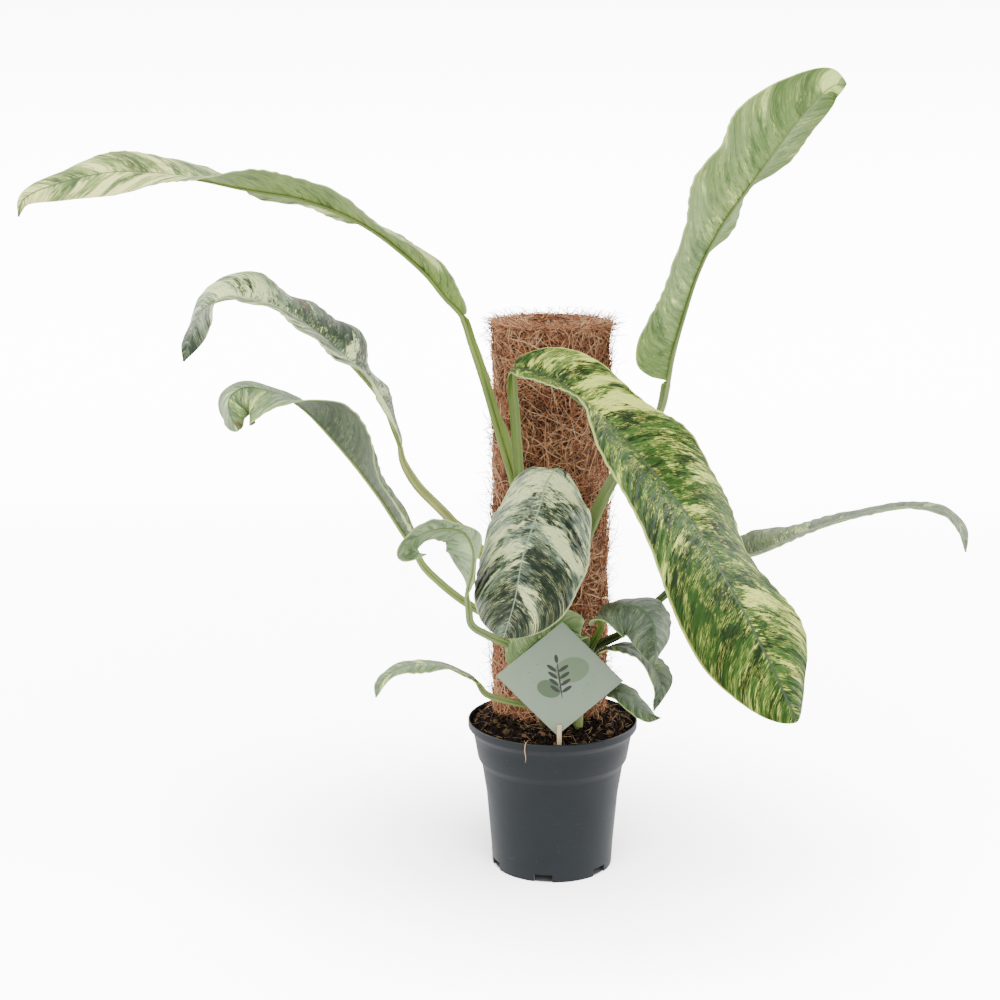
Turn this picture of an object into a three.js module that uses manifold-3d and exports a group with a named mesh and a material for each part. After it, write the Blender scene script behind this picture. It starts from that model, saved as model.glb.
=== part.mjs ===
// Potted scindapsus on a coir pole. Millimetres, +Z up, the pot stands on z = 0.
// X runs to the right, Y away from the viewer, and the origin is the centre of the pot's foot.
import * as THREE from 'three';
import Module from 'manifold-3d';
import { mergeVertices } from 'three/addons/utils/BufferGeometryUtils.js';

const wasm = await Module();
wasm.setup();

// Pot
const RIM_RADIUS = 75;
const POT_HEIGHT = 134;
const POT_WALL = 1.5;
const FLOOR_UNDERSIDE = 8;
const FLOOR_TOP = 9.5;
const FOOT_PAD_RADIUS = 14;
const NOTCH_COUNT = 6;
const NOTCH_WIDTH = 16;
const NOTCH_HEIGHT = 7;
const NOTCH_START = -98;
const DRAIN_COUNT = 8;
const DRAIN_RADIUS = 4;
const DRAIN_CIRCLE = 40;
const POT_SIDES = 40;

// Outer wall of the pot from the foot up to the lip, as [radius, height]
const POT_OUTSIDE = [
  [53.5, 0], [54.7, 21], [58.6, 66], [63, 93.5], [66.3, 99],
  [69.3, 116], [70.5, 122], [RIM_RADIUS, 128], [RIM_RADIUS, POT_HEIGHT],
];

// Soil
const SOIL_AT_RIM = 130;
const SOIL_AT_POLE = 141;
const SOIL_RIM_RADIUS = 71;
const SOIL_POLE_RADIUS = 52;
const SOIL_BUMP = 1.4;
const SOIL_SIDES = 28;
const FIT = 0.3;

// Coir pole
const POLE_X = -3;
const POLE_Y = 12;
const POLE_RADIUS = 49;
const POLE_TOP = 486;
const POLE_FOOT = 98;
const COIR_THICKNESS = 5.5;
const COIR_BUMP = 0.9;
const COIR_SIDES = 32;
const COIR_RINGS = 24;
const FILL_BELOW_TOP = 6;
const FILL_SIDES = 24;

// Stems, as routes of their axes
const STEM_MAIN_RADIUS = 5.5;
const STEM_MAIN = [
  [3, -44, 112], [3, -44, 160], [-2, -44, 205], [-7, -44, 240], [-13, -44, 270], [-20, -44, 298],
];
const STEM_SIDE_RADIUS = 5;
const STEM_SIDE = [[21, -40, 112], [22, -40, 150], [23, -40, 197]];

// Leaves
const BLADE_THICKNESS = 0.9;
const PETIOLE_MARGIN = 1;
const CHANNEL_LIFT = 60;
const RIB_SHARE = 0.85;
const SHORTEST_EDGE = 0.01;
const CURVE_STEPS = 16;
const ROD_SIDES = 5;

// Card and stick
const CARD_SIDE = 76;
const CARD_THICKNESS = 1;
const CARD_LEAN = 10;
const CARD_TURN = -2;
const STICK_WIDTH = 4;
const STICK_FOOT = -36;
const STICK_X = 5.8;
const STICK_Y = -64;
const STICK_GRIP = 20;
const CARD_CORNER = 9;

const deg = THREE.MathUtils.degToRad;
const clamp = THREE.MathUtils.clamp;

function material(color, roughness) {
  return new THREE.MeshStandardMaterial({ color, roughness, metalness: 0 });
}

const plastic = material(0x30363c, 0.45);
const peat = material(0x35241b, 0.95);
const coir = material(0x8a5238, 0.95);
const stemGreen = material(0x7d9a58, 0.5);
const leafGreen = material(0x6f8f57, 0.45);
const card = material(0xa9b5a1, 0.7);
const wood = material(0xd9c39b, 0.8);

// Solids: a closed geometry to and from the form that can be cut and joined

function toSolid(geometry) {
  const plain = geometry.clone();
  plain.deleteAttribute('normal');
  plain.deleteAttribute('uv');
  const merged = mergeVertices(plain, 1e-4);
  return new wasm.Manifold(new wasm.Mesh({
    numProp: 3,
    vertProperties: new Float32Array(merged.attributes.position.array),
    triVerts: new Uint32Array(merged.index.array),
  }));
}

function toGeometry(solid) {
  const mesh = solid.getMesh();
  const geometry = new THREE.BufferGeometry();
  geometry.setAttribute('position', new THREE.BufferAttribute(mesh.vertProperties, 3));
  geometry.setIndex(new THREE.BufferAttribute(mesh.triVerts, 1));
  return geometry;
}

function largestPiece(solid) {
  const pieces = solid.decompose();
  return pieces.reduce((best, piece) => (piece.volume() > best.volume() ? piece : best));
}

function node(name, geometry, look) {
  const mesh = new THREE.Mesh(geometry, look);
  mesh.name = name;
  return mesh;
}

// A lathe about the Z axis from a profile of [radius, height]
function turned(profile, sides) {
  const points = profile.map(([r, z]) => new THREE.Vector2(r, z));
  return new THREE.LatheGeometry(points, sides).rotateX(Math.PI / 2);
}

// A round rod along a route of points
function rod(points, radius, sides, steps) {
  const outline = new THREE.Shape();
  outline.absarc(0, 0, radius, 0, 2 * Math.PI);
  const extrudePath = new THREE.CatmullRomCurve3(points.map((p) => new THREE.Vector3(...p)));
  const options = { steps, extrudePath, bevelEnabled: false, curveSegments: sides };
  return new THREE.ExtrudeGeometry(outline, options);
}

// Pot

function potInside() {
  return POT_OUTSIDE.slice(1).reverse().map(([r, z]) => [r - POT_WALL, z]);
}

function potGeometry() {
  const floorRadius = POT_OUTSIDE[0][0] - POT_WALL;
  const profile = [
    [0, 0], [FOOT_PAD_RADIUS, 0], [FOOT_PAD_RADIUS, FLOOR_UNDERSIDE],
    [floorRadius, FLOOR_UNDERSIDE], [floorRadius, 0],
    ...POT_OUTSIDE, ...potInside(), [floorRadius, FLOOR_TOP], [0, FLOOR_TOP],
  ];
  let pot = toSolid(turned(profile, POT_SIDES));
  for (let i = 0; i < NOTCH_COUNT; i += 1) {
    const notch = new THREE.BoxGeometry(10, NOTCH_WIDTH, 2 * NOTCH_HEIGHT);
    notch.translate(POT_OUTSIDE[0][0], 0, 0);
    notch.rotateZ(deg(NOTCH_START + (i * 360) / NOTCH_COUNT));
    pot = pot.subtract(toSolid(notch));
  }
  for (let i = 0; i < DRAIN_COUNT; i += 1) {
    const drain = new THREE.CylinderGeometry(DRAIN_RADIUS, DRAIN_RADIUS, 6, 10);
    drain.rotateX(Math.PI / 2);
    drain.translate(DRAIN_CIRCLE, 0, FLOOR_TOP);
    drain.rotateZ(((i + 0.5) * 2 * Math.PI) / DRAIN_COUNT);
    pot = pot.subtract(toSolid(drain));
  }
  return toGeometry(pot);
}

// Soil, with an uneven top that rises to the pole and plain holes for what stands in it

function soilGeometry(holes) {
  const bottomRadius = POT_OUTSIDE[0][0] - POT_WALL - FIT;
  const sides = potInside().reverse().map(([r, z]) => [r - FIT, z]);
  const below = sides.filter(([, z]) => z < SOIL_AT_RIM - 4);
  const middle = (SOIL_RIM_RADIUS + SOIL_POLE_RADIUS) / 2;
  const top = [
    [SOIL_RIM_RADIUS, SOIL_AT_RIM - 1.5], [SOIL_RIM_RADIUS - 4, SOIL_AT_RIM],
    [middle, SOIL_AT_RIM + 3],
  ];
  const crown = [
    [SOIL_POLE_RADIUS, SOIL_AT_POLE - 4], [SOIL_POLE_RADIUS - 8, SOIL_AT_POLE],
    [20, SOIL_AT_POLE], [0, SOIL_AT_POLE],
  ];
  const profile = [[0, FLOOR_TOP + FIT], [bottomRadius, FLOOR_TOP + FIT], ...below, ...top, ...crown];
  const geometry = turned(profile, SOIL_SIDES);
  const position = geometry.attributes.position;
  for (let i = 0; i < position.count; i += 1) {
    const x = position.getX(i);
    const y = position.getY(i);
    const z = position.getZ(i);
    const onTop = z > SOIL_AT_RIM - 1 && Math.hypot(x, y) > 1;
    const bump = Math.sin(x * 0.31 + 1.3) * Math.cos(y * 0.37) + 0.5 * Math.sin(x * 0.8 - y * 0.7);
    position.setZ(i, onTop ? z + SOIL_BUMP * bump : z);
  }
  return toGeometry(holes.reduce((soil, hole) => soil.subtract(hole), toSolid(geometry)));
}

// Pole: a sleeve of matted fibre with lumps all over, and the dark core that it holds

function coirGeometry() {
  const inner = POLE_RADIUS - COIR_THICKNESS;
  const profile = [[inner, POLE_TOP], [inner, POLE_FOOT]];
  for (let ring = 0; ring <= COIR_RINGS; ring += 1) {
    profile.push([POLE_RADIUS, THREE.MathUtils.lerp(POLE_FOOT, POLE_TOP, ring / COIR_RINGS)]);
  }
  profile.push([inner, POLE_TOP]);
  const geometry = turned(profile, COIR_SIDES);
  const position = geometry.attributes.position;
  for (let i = 0; i < position.count; i += 1) {
    const x = position.getX(i);
    const y = position.getY(i);
    const z = position.getZ(i);
    const radius = Math.hypot(x, y);
    const open = z > SOIL_AT_POLE + 10 && radius > inner + 1 ? 1 : 0;
    const turn = Math.atan2(y, x);
    const lump = Math.sin(7 * turn + z * 0.09) + Math.sin(5 * turn - z * 0.13 + 2);
    const grow = 1 + (open * COIR_BUMP * 0.5 * lump) / radius;
    position.setXYZ(i, x * grow, y * grow, z);
  }
  return geometry.translate(POLE_X, POLE_Y, 0);
}

function fillGeometry() {
  const radius = POLE_RADIUS - COIR_THICKNESS - FIT;
  const top = POLE_TOP - FILL_BELOW_TOP;
  const profile = [[0, POLE_FOOT], [radius, POLE_FOOT], [radius, top - 2], [28, top], [0, top + 1]];
  return turned(profile, FILL_SIDES).translate(POLE_X, POLE_Y, 0);
}

// Leaf: petiole and blade as one body, lofted along a route from the stem to the tip.
// Each half of the blade leaves the midrib at its own lift in degrees, listed from base to tip:
// 0 lies flat, positive folds towards the upper side, negative droops.

function listed(values, u) {
  const last = values.length - 1;
  const x = clamp(u * last, 0, last - 1e-6);
  const i = Math.floor(x);
  const at = (k) => values[clamp(k, 0, last)];
  const t = x - i;
  const [a, b, c, d] = [at(i - 1), at(i), at(i + 1), at(i + 2)];
  const cubic = (2 * a - 5 * b + 4 * c - d) * t * t + (3 * b - a - 3 * c + d) * t ** 3;
  return 0.5 * (2 * b + (c - a) * t + cubic);
}

// Share of the full half width at u, from 0 at the base to 1 at the tip
function outlineShare(u, leaf) {
  const before = clamp(1 - u / leaf.widest, 0, 1);
  const after = clamp((u - leaf.widest) / (1 - leaf.widest), 0, 1);
  return (1 - before ** 2.4) ** leaf.base * (1 - after ** 2) ** leaf.tip;
}

function leafRoute(leaf) {
  const points = [...leaf.stalk, ...leaf.rib].map((p) => new THREE.Vector3(...p));
  const curve = new THREE.CatmullRomCurve3(points, false, 'centripetal');
  const samples = curve.getPoints(CURVE_STEPS * (points.length - 1));
  const reach = [0];
  for (let i = 1; i < samples.length; i += 1) {
    reach.push(reach[i - 1] + samples[i].distanceTo(samples[i - 1]));
  }
  const at = (length) => {
    let i = 1;
    while (i < reach.length - 1 && reach[i] < length) i += 1;
    const t = clamp((length - reach[i - 1]) / (reach[i] - reach[i - 1]), 0, 1);
    return samples[i - 1].clone().lerp(samples[i], t);
  };
  return { at, total: reach[reach.length - 1], bladeFrom: reach[CURVE_STEPS * leaf.stalk.length] };
}

// The stations of a leaf, each with its place, frame, half width, core radius and lifts
function leafStations(leaf) {
  const route = leafRoute(leaf);
  const across = new THREE.Vector3(...leaf.across);
  const stations = [];
  const add = (length, v, u) => {
    const place = route.at(length);
    const ahead = route.at(Math.min(length + leaf.ease, route.total));
    const along = ahead.sub(route.at(Math.max(length - leaf.ease, 0))).normalize();
    const side = across.clone().addScaledVector(along, -across.dot(along)).normalize();
    const up = side.clone().cross(along);
    const core = u === null
      ? leaf.core * (1.2 - 0.2 * v)
      : leaf.core * RIB_SHARE * (1 - u) ** 0.8 + 0.35;
    const wingEnds = v === null ? 0 : Math.min(v / 0.15, (leaf.sheathEnd - v) / 0.05);
    const wing = leaf.sheath * clamp(wingEnds, 0, 1);
    const slim = core + PETIOLE_MARGIN + wing;
    const share = u === null ? 0 : outlineShare(u, leaf);
    const half = Math.max((leaf.width / 2) * share, u === null ? slim : PETIOLE_MARGIN);
    const blend = v === null ? 1 : clamp((v - 0.85) / 0.15, 0, 1);
    const lifts = [leaf.left, leaf.right].map((values) => {
      const blade = listed(values, u === null ? 0 : u);
      return deg(CHANNEL_LIFT + (blade - CHANNEL_LIFT) * blend);
    });
    stations.push({ place, along, side, up, core, half, lifts, share, u: u === null ? 0 : u });
  };
  for (let i = 0; i < leaf.stalkSteps; i += 1) {
    const v = i / leaf.stalkSteps;
    add(route.bladeFrom * v, v, null);
  }
  for (let i = 0; i <= leaf.bladeSteps; i += 1) {
    const even = i / leaf.bladeSteps;
    const u = 0.5 * even + 0.25 * (1 - Math.cos(Math.PI * even));
    add(THREE.MathUtils.lerp(route.bladeFrom, route.total, u), null, u);
  }
  return stations;
}

// One row of points over the upper side and one over the underside, from left edge to right edge
function leafRows(station, leaf) {
  const { place, along, side, up, core, half, lifts, share, u } = station;
  const arch = deg(leaf.arch);
  const normals = [];
  const halves = [-1, 1].map((sign, k) => {
    const start = lifts[k] + arch / 2;
    const normalAt = (angle) => side.clone().multiplyScalar(-sign * Math.sin(angle))
      .addScaledVector(up, Math.cos(angle));
    normals.push(normalAt(start));
    const inner = Math.min(RIB_SHARE * core, 0.45 * half);
    return [inner, (inner + half) / 2, half].map((reach) => {
      const f = reach / half;
      const angle = start - arch * f;
      const x = (half / arch) * (Math.sin(start) - Math.sin(angle));
      const y = (half / arch) * (Math.cos(angle) - Math.cos(start));
      const back = leaf.lobe * clamp(1 - u / 0.25, 0, 1) ** 2 * f * f * Math.min(1, share * 4);
      const phase = 2 * Math.PI * leaf.waves * u + sign * 1.1;
      const wave = leaf.waveHeight * share * f * f * Math.sin(phase);
      const normal = normalAt(angle);
      const middle = place.clone().addScaledVector(side, sign * x).addScaledVector(up, y)
        .addScaledVector(along, -back).addScaledVector(normal, wave);
      return { middle, normal };
    });
  });
  const skin = BLADE_THICKNESS / 2;
  const over = ({ middle, normal }) => middle.clone().addScaledVector(normal, skin);
  const under = ({ middle, normal }) => middle.clone().addScaledVector(normal, -skin);
  const coreUp = normals[0].clone().add(normals[1]).normalize();
  const coreSide = along.clone().cross(coreUp);
  const groove = place.clone().addScaledVector(coreUp, Math.max(0.3 * core, skin));
  const keel = place.clone().addScaledVector(coreUp, -Math.max(core, skin + 0.15));
  const shoulder = (sign) => place.clone().addScaledVector(coreSide, sign * 0.7 * core)
    .addScaledVector(coreUp, -Math.max(0.65 * core, skin));
  const [left, right] = halves;
  const outwards = (list) => list.slice(1);
  return {
    upper: [...left.map(over).reverse(), groove, ...right.map(over)],
    lower: [
      ...outwards(left).map(under).reverse(), shoulder(-1), keel, shoulder(1),
      ...outwards(right).map(under),
    ],
  };
}

function leafGeometry(leaf) {
  const rows = leafStations(leaf).map((station) => leafRows(station, leaf));
  const columns = rows[0].upper.length;
  const positions = [];
  rows.forEach((row) => [...row.upper, ...row.lower].forEach((p) => positions.push(p.x, p.y, p.z)));
  const upper = (i, j) => i * 2 * columns + j;
  const lower = (i, j) => upper(i, j) + columns;
  const index = [];
  const quad = (a, b, c, d) => index.push(a, b, c, a, c, d);
  for (let i = 0; i < rows.length - 1; i += 1) {
    for (let j = 0; j < columns - 1; j += 1) {
      quad(upper(i, j), upper(i, j + 1), upper(i + 1, j + 1), upper(i + 1, j));
      quad(lower(i + 1, j + 1), lower(i, j + 1), lower(i, j), lower(i + 1, j));
    }
    const right = columns - 1;
    quad(upper(i, 0), upper(i + 1, 0), lower(i + 1, 0), lower(i, 0));
    quad(upper(i + 1, right), upper(i, right), lower(i, right), lower(i + 1, right));
  }
  const end = rows.length - 1;
  for (let j = 0; j < columns - 1; j += 1) {
    quad(upper(0, j), lower(0, j), lower(0, j + 1), upper(0, j + 1));
    quad(upper(end, j), upper(end, j + 1), lower(end, j + 1), lower(end, j));
  }
  const geometry = new THREE.BufferGeometry();
  geometry.setAttribute('position', new THREE.Float32BufferAttribute(positions, 3));
  geometry.setIndex(index);
  return geometry;
}

// What most leaves share; each leaf below gives its own route, folds and width
const COMMON_LEAF = {
  across: [0, 1, 0], base: 0.5, tip: 0.95, lobe: 3, arch: 30, waves: 4, waveHeight: 1.5,
  core: 3, sheath: 0, sheathEnd: 0, stalkSteps: 7, bladeSteps: 20, ease: 4,
};

const MAIN_STEM_LEAVES = {
  // Upper left: the near half stands up, then the blade twists over and ends in a hook
  leaf_upper_left: {
    stalk: [[-13.5, -44, 271], [-24, -42, 315], [-35, -45, 361], [-47, -52, 404], [-58, -55, 443],
      [-68, -56, 474]],
    rib: [[-76, -54, 497], [-90, -52, 512], [-108, -49, 533], [-155, -41, 569], [-203, -34, 589],
      [-260, -26, 599], [-303, -20, 607], [-361, -24, 612], [-410, -30, 603], [-440, -34, 590],
      [-445, -35, 576]],
    width: 87, widest: 0.43, core: 3.6, sheath: 3.2, sheathEnd: 0.62, waves: 5, waveHeight: 3,
    left: [45, 30, 15, 30, 20, 0, -30, -60, -90], right: [20, 15, 0, -15, -10, 10, 35, 35, 70],
    bladeSteps: 24,
  },
  // Middle left: arched, with the tip hanging down as a flap
  leaf_mid_left: {
    stalk: [[-7, -44, 236], [-30, -50, 262], [-53, -58, 287], [-91, -64, 332], [-115, -66, 358],
      [-125, -66, 377]],
    rib: [[-127, -66, 390], [-132, -67, 404], [-141, -67, 427], [-162, -65, 453], [-189, -60, 478],
      [-220, -56, 498], [-252, -53, 510], [-278, -50, 508], [-292, -51, 499], [-300, -54, 481],
      [-307, -58, 459]],
    width: 84, widest: 0.47, core: 3.4, sheath: 2.4, sheathEnd: 0.6, waves: 6, waveHeight: 2.5,
    left: [10, 5, 10, 0, 5, 5, 0, -50, -105], right: [0, 5, 5, 25, 15, 20, 40, 20, 75],
    bladeSteps: 24,
  },
  // Lower left: underside seen, tip curled over
  leaf_lower_left: {
    stalk: [[-2, -44, 206], [-20, -50, 218], [-40, -58, 233], [-78, -70, 260], [-98, -74, 278],
      [-109, -75, 290]],
    rib: [[-118, -76, 309], [-123, -75, 315], [-146, -75, 351], [-180, -70, 393], [-213, -65, 425],
      [-237, -64, 437], [-255, -67, 438], [-265, -74, 429], [-264, -82, 416], [-259, -87, 405]],
    width: 82, widest: 0.47, tip: 1.1, core: 2.7, waves: 3, ease: 8,
    left: [40, 25, 25, 50, 50, 10, -10, -30, -40], right: [20, 15, 10, 20, 5, -5, -5, -10, -10],
    bladeSteps: 22,
  },
  // Small curled leaf in front of the pole's left edge
  leaf_curled: {
    stalk: [[1, -44, 190], [-28, -56, 212], [-53, -78, 230], [-68, -92, 244], [-70, -99, 259]],
    rib: [[-70, -103, 276], [-66, -105, 293], [-65, -108, 312], [-73, -110, 327], [-88, -116, 332],
      [-106, -123, 329], [-119, -127, 320], [-120, -130, 312], [-110, -131, 311],
      [-102, -131, 314]],
    width: 54, widest: 0.41, tip: 1.2, core: 2.6, waves: 2, ease: 8,
    left: [5, 5, 0, 30, 25, 30, 20, 10, -10], right: [-10, -50, -65, -50, -40, -30, -35, -45, -60],
    bladeSteps: 20,
  },
  // Centre front, upper side to the viewer
  leaf_front: {
    stalk: [[-9, -44, 254], [-3, -60, 293], [1, -69, 330], [3, -74, 356], [4, -76, 368]],
    rib: [[3, -79, 374], [-6, -91, 365], [-12, -103, 346], [-19, -113, 327], [-25, -123, 309],
      [-31, -142, 278], [-39, -162, 254]],
    across: [-1, 0, 0.2], width: 108, widest: 0.51, tip: 0.67, core: 3, waves: 3,
    left: [20, -20, -15, -10, -10, -5, -5], right: [20, -45, -50, -50, -50, -40, -30],
    stalkSteps: 6, bladeSteps: 18,
  },
  // The big leaf that hangs to the lower right, upper side to the viewer
  leaf_big_right: {
    stalk: [[-16, -44, 284], [-20, -56, 304], [-24, -59, 330], [-28, -61, 362], [-32, -63, 420],
      [-34, -64, 441]],
    rib: [[-33, -68, 454], [-18, -77, 453], [2, -92, 447], [22, -112, 435], [45, -136, 419],
      [76, -171, 389], [109, -197, 350], [138, -216, 302], [163, -227, 256], [185, -233, 210]],
    across: [-0.4, -0.75, -0.45], width: 113, widest: 0.66, tip: 0.6, lobe: 0, core: 3.6,
    waves: 4, waveHeight: 2.5,
    left: [45, 15, -5, 0, -5, -20, -5, 10, 0], right: [20, 40, 50, 35, 15, 0, -20, -40, -40],
    bladeSteps: 24,
  },
  // Upper right, underside to the viewer, on a broadly winged petiole
  leaf_upper_right: {
    stalk: [[-6, -44, 236], [11, -55, 267], [31, -61, 317], [49, -60, 357], [72, -46, 388],
      [89, -34, 415]],
    rib: [[95, -25, 440], [98, -24, 459], [107, -18, 492], [120, -11, 531], [139, -3, 567],
      [174, 6, 616], [208, 12, 661], [230, 15, 682], [242, 18, 684]],
    across: [-0.9, -0.2, 0.3], width: 112, widest: 0.53, base: 0.35, tip: 0.67, lobe: 0,
    core: 3.6, sheath: 5, sheathEnd: 0.8, waves: 4, waveHeight: 2,
    left: [60, 90, 85, 75, 65, 70, 55, 45, 30], right: [10, -30, -50, -45, -30, -25, 0, 10, 5],
    bladeSteps: 22,
  },
  // Small leaf low on the left
  leaf_small_left: {
    stalk: [[2, -44, 157], [-28, -56, 164], [-46, -64, 171], [-58, -70, 178]],
    rib: [[-65, -72, 190], [-75, -74, 196], [-93, -78, 205], [-115, -84, 207], [-133, -92, 203],
      [-143, -98, 194], [-147, -102, 184]],
    width: 43, widest: 0.46, core: 2.2, waves: 2, waveHeight: 1,
    left: [5, 15, 5, -5, -5, -25], right: [-10, -10, -10, -5, 15, 55],
    stalkSteps: 5, bladeSteps: 14,
  },
  // Open sheath at the node under the front leaf, with a short flap at its end
  leaf_sheath: {
    stalk: [[3, -44, 174], [-12, -58, 184]],
    rib: [[-24, -66, 202], [-16, -68, 216], [-3, -68, 229], [10, -68, 235], [20, -67, 231],
      [26, -65, 222], [28, -63, 212]],
    across: [0.6, 0, -0.7], width: 38, widest: 0.45, tip: 1.3, lobe: 0, core: 1.6, waves: 1,
    left: [-10, -10, 0, 10, 10], right: [10, 10, 10, 10, 10],
    waveHeight: 0.5, stalkSteps: 3, bladeSteps: 14, ease: 8,
  },
};

const SIDE_STEM_LEAVES = {
  // Far right, thin, almost edge on
  leaf_far_right: {
    stalk: [[23, -40, 194], [37, -48, 213], [59, -54, 227], [86, -58, 254], [115, -58, 280]],
    rib: [[136, -55, 292], [171, -50, 297], [214, -42, 314], [257, -34, 326], [303, -30, 333],
      [331, -32, 330], [345, -36, 315], [348, -40, 297]],
    across: [0, -1, 0], width: 64, widest: 0.44, core: 2.6, waves: 3,
    left: [25, 30, 5, -5, 0, 5, 60], right: [5, 15, 10, 15, 10, -5, -45],
  },
  // Three small leaves low on the right
  leaf_small_right_top: {
    stalk: [[23, -40, 186], [29, -53, 206], [35, -62, 222], [41, -71, 238]],
    rib: [[40, -79, 249], [54, -84, 258], [70, -95, 261], [81, -106, 252], [84, -112, 235],
      [83, -115, 218]],
    across: [-0.4, -0.75, -0.3], width: 56, widest: 0.44, tip: 0.7, lobe: 8, core: 2.4,
    waves: 2, waveHeight: 1, ease: 6,
    left: [30, -10, -15, -10, 0, -10], right: [30, 0, -30, -50, -55, -30],
    stalkSteps: 4, bladeSteps: 16,
  },
  leaf_small_right_middle: {
    stalk: [[22.4, -40, 172], [31, -56, 192], [36, -61, 205]],
    rib: [[39, -63, 213], [53, -68, 220], [70, -78, 218], [83, -88, 208], [89, -96, 193],
      [84, -100, 174]],
    across: [-0.4, -0.75, -0.3], width: 46, widest: 0.5, tip: 1.1, core: 1.9, waves: 2,
    waveHeight: 1,
    left: [-25, -25, -25, -15, 5, 30], right: [5, 25, 30, 30, 10, -25],
    stalkSteps: 4, bladeSteps: 14,
  },
  leaf_small_right_bottom: {
    stalk: [[22, -40, 163], [32, -46, 167], [42, -52, 172]],
    rib: [[49, -57, 175], [61, -61, 176], [72, -68, 169], [82, -75, 163], [91, -80, 161]],
    across: [-0.4, -0.75, -0.3], width: 34, widest: 0.5, core: 1.8, waves: 1, waveHeight: 0.8,
    left: [30, -15, -30, -35, -45], right: [10, 10, 15, 5, -35],
    stalkSteps: 3, bladeSteps: 12,
  },
};

// A leaf cut clear of the stem that it grows from
function leafNode(name, shape, stem) {
  const leaf = toSolid(leafGeometry({ ...COMMON_LEAF, ...shape }));
  const clear = largestPiece(leaf.subtract(stem)).simplify(SHORTEST_EDGE);
  return node(name, toGeometry(clear), leafGreen);
}

// Card on its corner, and the split stick that grips that corner, both leaning to the viewer

function leaning(geometry) {
  return geometry.rotateX(deg(CARD_LEAN)).translate(STICK_X, STICK_Y, SOIL_AT_RIM + 1);
}

function cardGeometry() {
  const geometry = new THREE.BoxGeometry(CARD_SIDE, CARD_THICKNESS, CARD_SIDE);
  geometry.rotateY(deg(45 + CARD_TURN));
  return leaning(geometry.translate(0, 0, CARD_CORNER + CARD_SIDE * Math.SQRT1_2));
}

function stickGeometry(spare) {
  const width = STICK_WIDTH + 2 * spare;
  const length = STICK_GRIP - STICK_FOOT;
  const body = new THREE.BoxGeometry(width, width, length + 2 * spare);
  body.translate(0, 0, STICK_FOOT + length / 2);
  return leaning(body);
}

function splitStick() {
  const slot = new THREE.BoxGeometry(2 * STICK_WIDTH, CARD_THICKNESS + 2 * FIT, STICK_GRIP);
  slot.translate(0, 0, CARD_CORNER - 2 + STICK_GRIP / 2);
  return toGeometry(toSolid(stickGeometry(0)).subtract(toSolid(leaning(slot))));
}

// Assembly

const stemMain = rod(STEM_MAIN, STEM_MAIN_RADIUS, ROD_SIDES, 14);
const stemSide = rod(STEM_SIDE, STEM_SIDE_RADIUS, ROD_SIDES, 6);
const aroundStemMain = toSolid(rod(STEM_MAIN, STEM_MAIN_RADIUS + FIT, ROD_SIDES, 14));
const aroundStemSide = toSolid(rod(STEM_SIDE, STEM_SIDE_RADIUS + FIT, ROD_SIDES, 6));

const poleHoleRadius = POLE_RADIUS + FIT;
const poleHole = turned([
  [0, POLE_FOOT - FIT], [poleHoleRadius, POLE_FOOT - FIT], [poleHoleRadius, POLE_TOP], [0, POLE_TOP],
], COIR_SIDES).translate(POLE_X, POLE_Y, 0);
const holes = [toSolid(poleHole), aroundStemMain, aroundStemSide, toSolid(stickGeometry(FIT))];

const plant = new THREE.Group();
plant.add(node('pot', potGeometry(), plastic));
plant.add(node('soil', soilGeometry(holes), peat));
plant.add(node('coir_mat', coirGeometry(), coir));
plant.add(node('pole_fill', fillGeometry(), peat));
plant.add(node('stem_main', stemMain, stemGreen));
plant.add(node('stem_side', stemSide, stemGreen));
for (const [name, shape] of Object.entries(MAIN_STEM_LEAVES)) {
  plant.add(leafNode(name, shape, aroundStemMain));
}
for (const [name, shape] of Object.entries(SIDE_STEM_LEAVES)) {
  plant.add(leafNode(name, shape, aroundStemSide));
}
plant.add(node('label_card', cardGeometry(), card));
plant.add(node('label_stick', splitStick(), wood));

export default plant;
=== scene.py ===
# %% [markdown]
# A potted scindapsus on a coir pole, dressed in Blender.
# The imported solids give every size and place. This lesson replaces the plain solids
# with finer pieces of the same form, and gives each of them a procedural finish.
# Lengths are in metres in Blender, and in millimetres in the lists below.

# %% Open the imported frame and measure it
import math
import bpy
import numpy as np
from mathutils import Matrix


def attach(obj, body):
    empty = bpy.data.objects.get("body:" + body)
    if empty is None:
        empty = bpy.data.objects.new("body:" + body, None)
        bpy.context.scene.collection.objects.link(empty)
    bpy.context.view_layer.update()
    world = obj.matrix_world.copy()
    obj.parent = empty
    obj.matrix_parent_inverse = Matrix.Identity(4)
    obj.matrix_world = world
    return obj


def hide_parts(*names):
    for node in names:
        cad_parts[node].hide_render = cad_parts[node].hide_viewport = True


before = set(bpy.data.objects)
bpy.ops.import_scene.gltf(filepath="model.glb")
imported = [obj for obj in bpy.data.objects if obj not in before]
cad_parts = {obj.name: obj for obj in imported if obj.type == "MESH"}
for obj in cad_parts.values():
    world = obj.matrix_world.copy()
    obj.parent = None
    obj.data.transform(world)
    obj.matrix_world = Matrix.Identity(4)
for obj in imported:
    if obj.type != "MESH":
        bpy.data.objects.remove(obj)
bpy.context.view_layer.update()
MM = 0.001
print("solids in the frame:", len(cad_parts))

# %% [markdown]
# The camera first, because everything is judged through it. It stands 1.6 m in front
# of the pot, nearly as high as the highest leaf, and looks 12 degrees down and a touch
# to the left.

# %% Camera
camera_data = bpy.data.cameras.new("camera")
camera_data.sensor_width = 36
camera_data.lens = 68.4
camera = bpy.data.objects.new("camera", camera_data)
camera.location = (0, -1.612, 0.673)
camera.rotation_euler = (math.radians(78.03), 0, math.radians(1.66))
bpy.context.scene.collection.objects.link(camera)
bpy.context.scene.camera = camera
print("camera at", tuple(camera.location))

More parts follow.
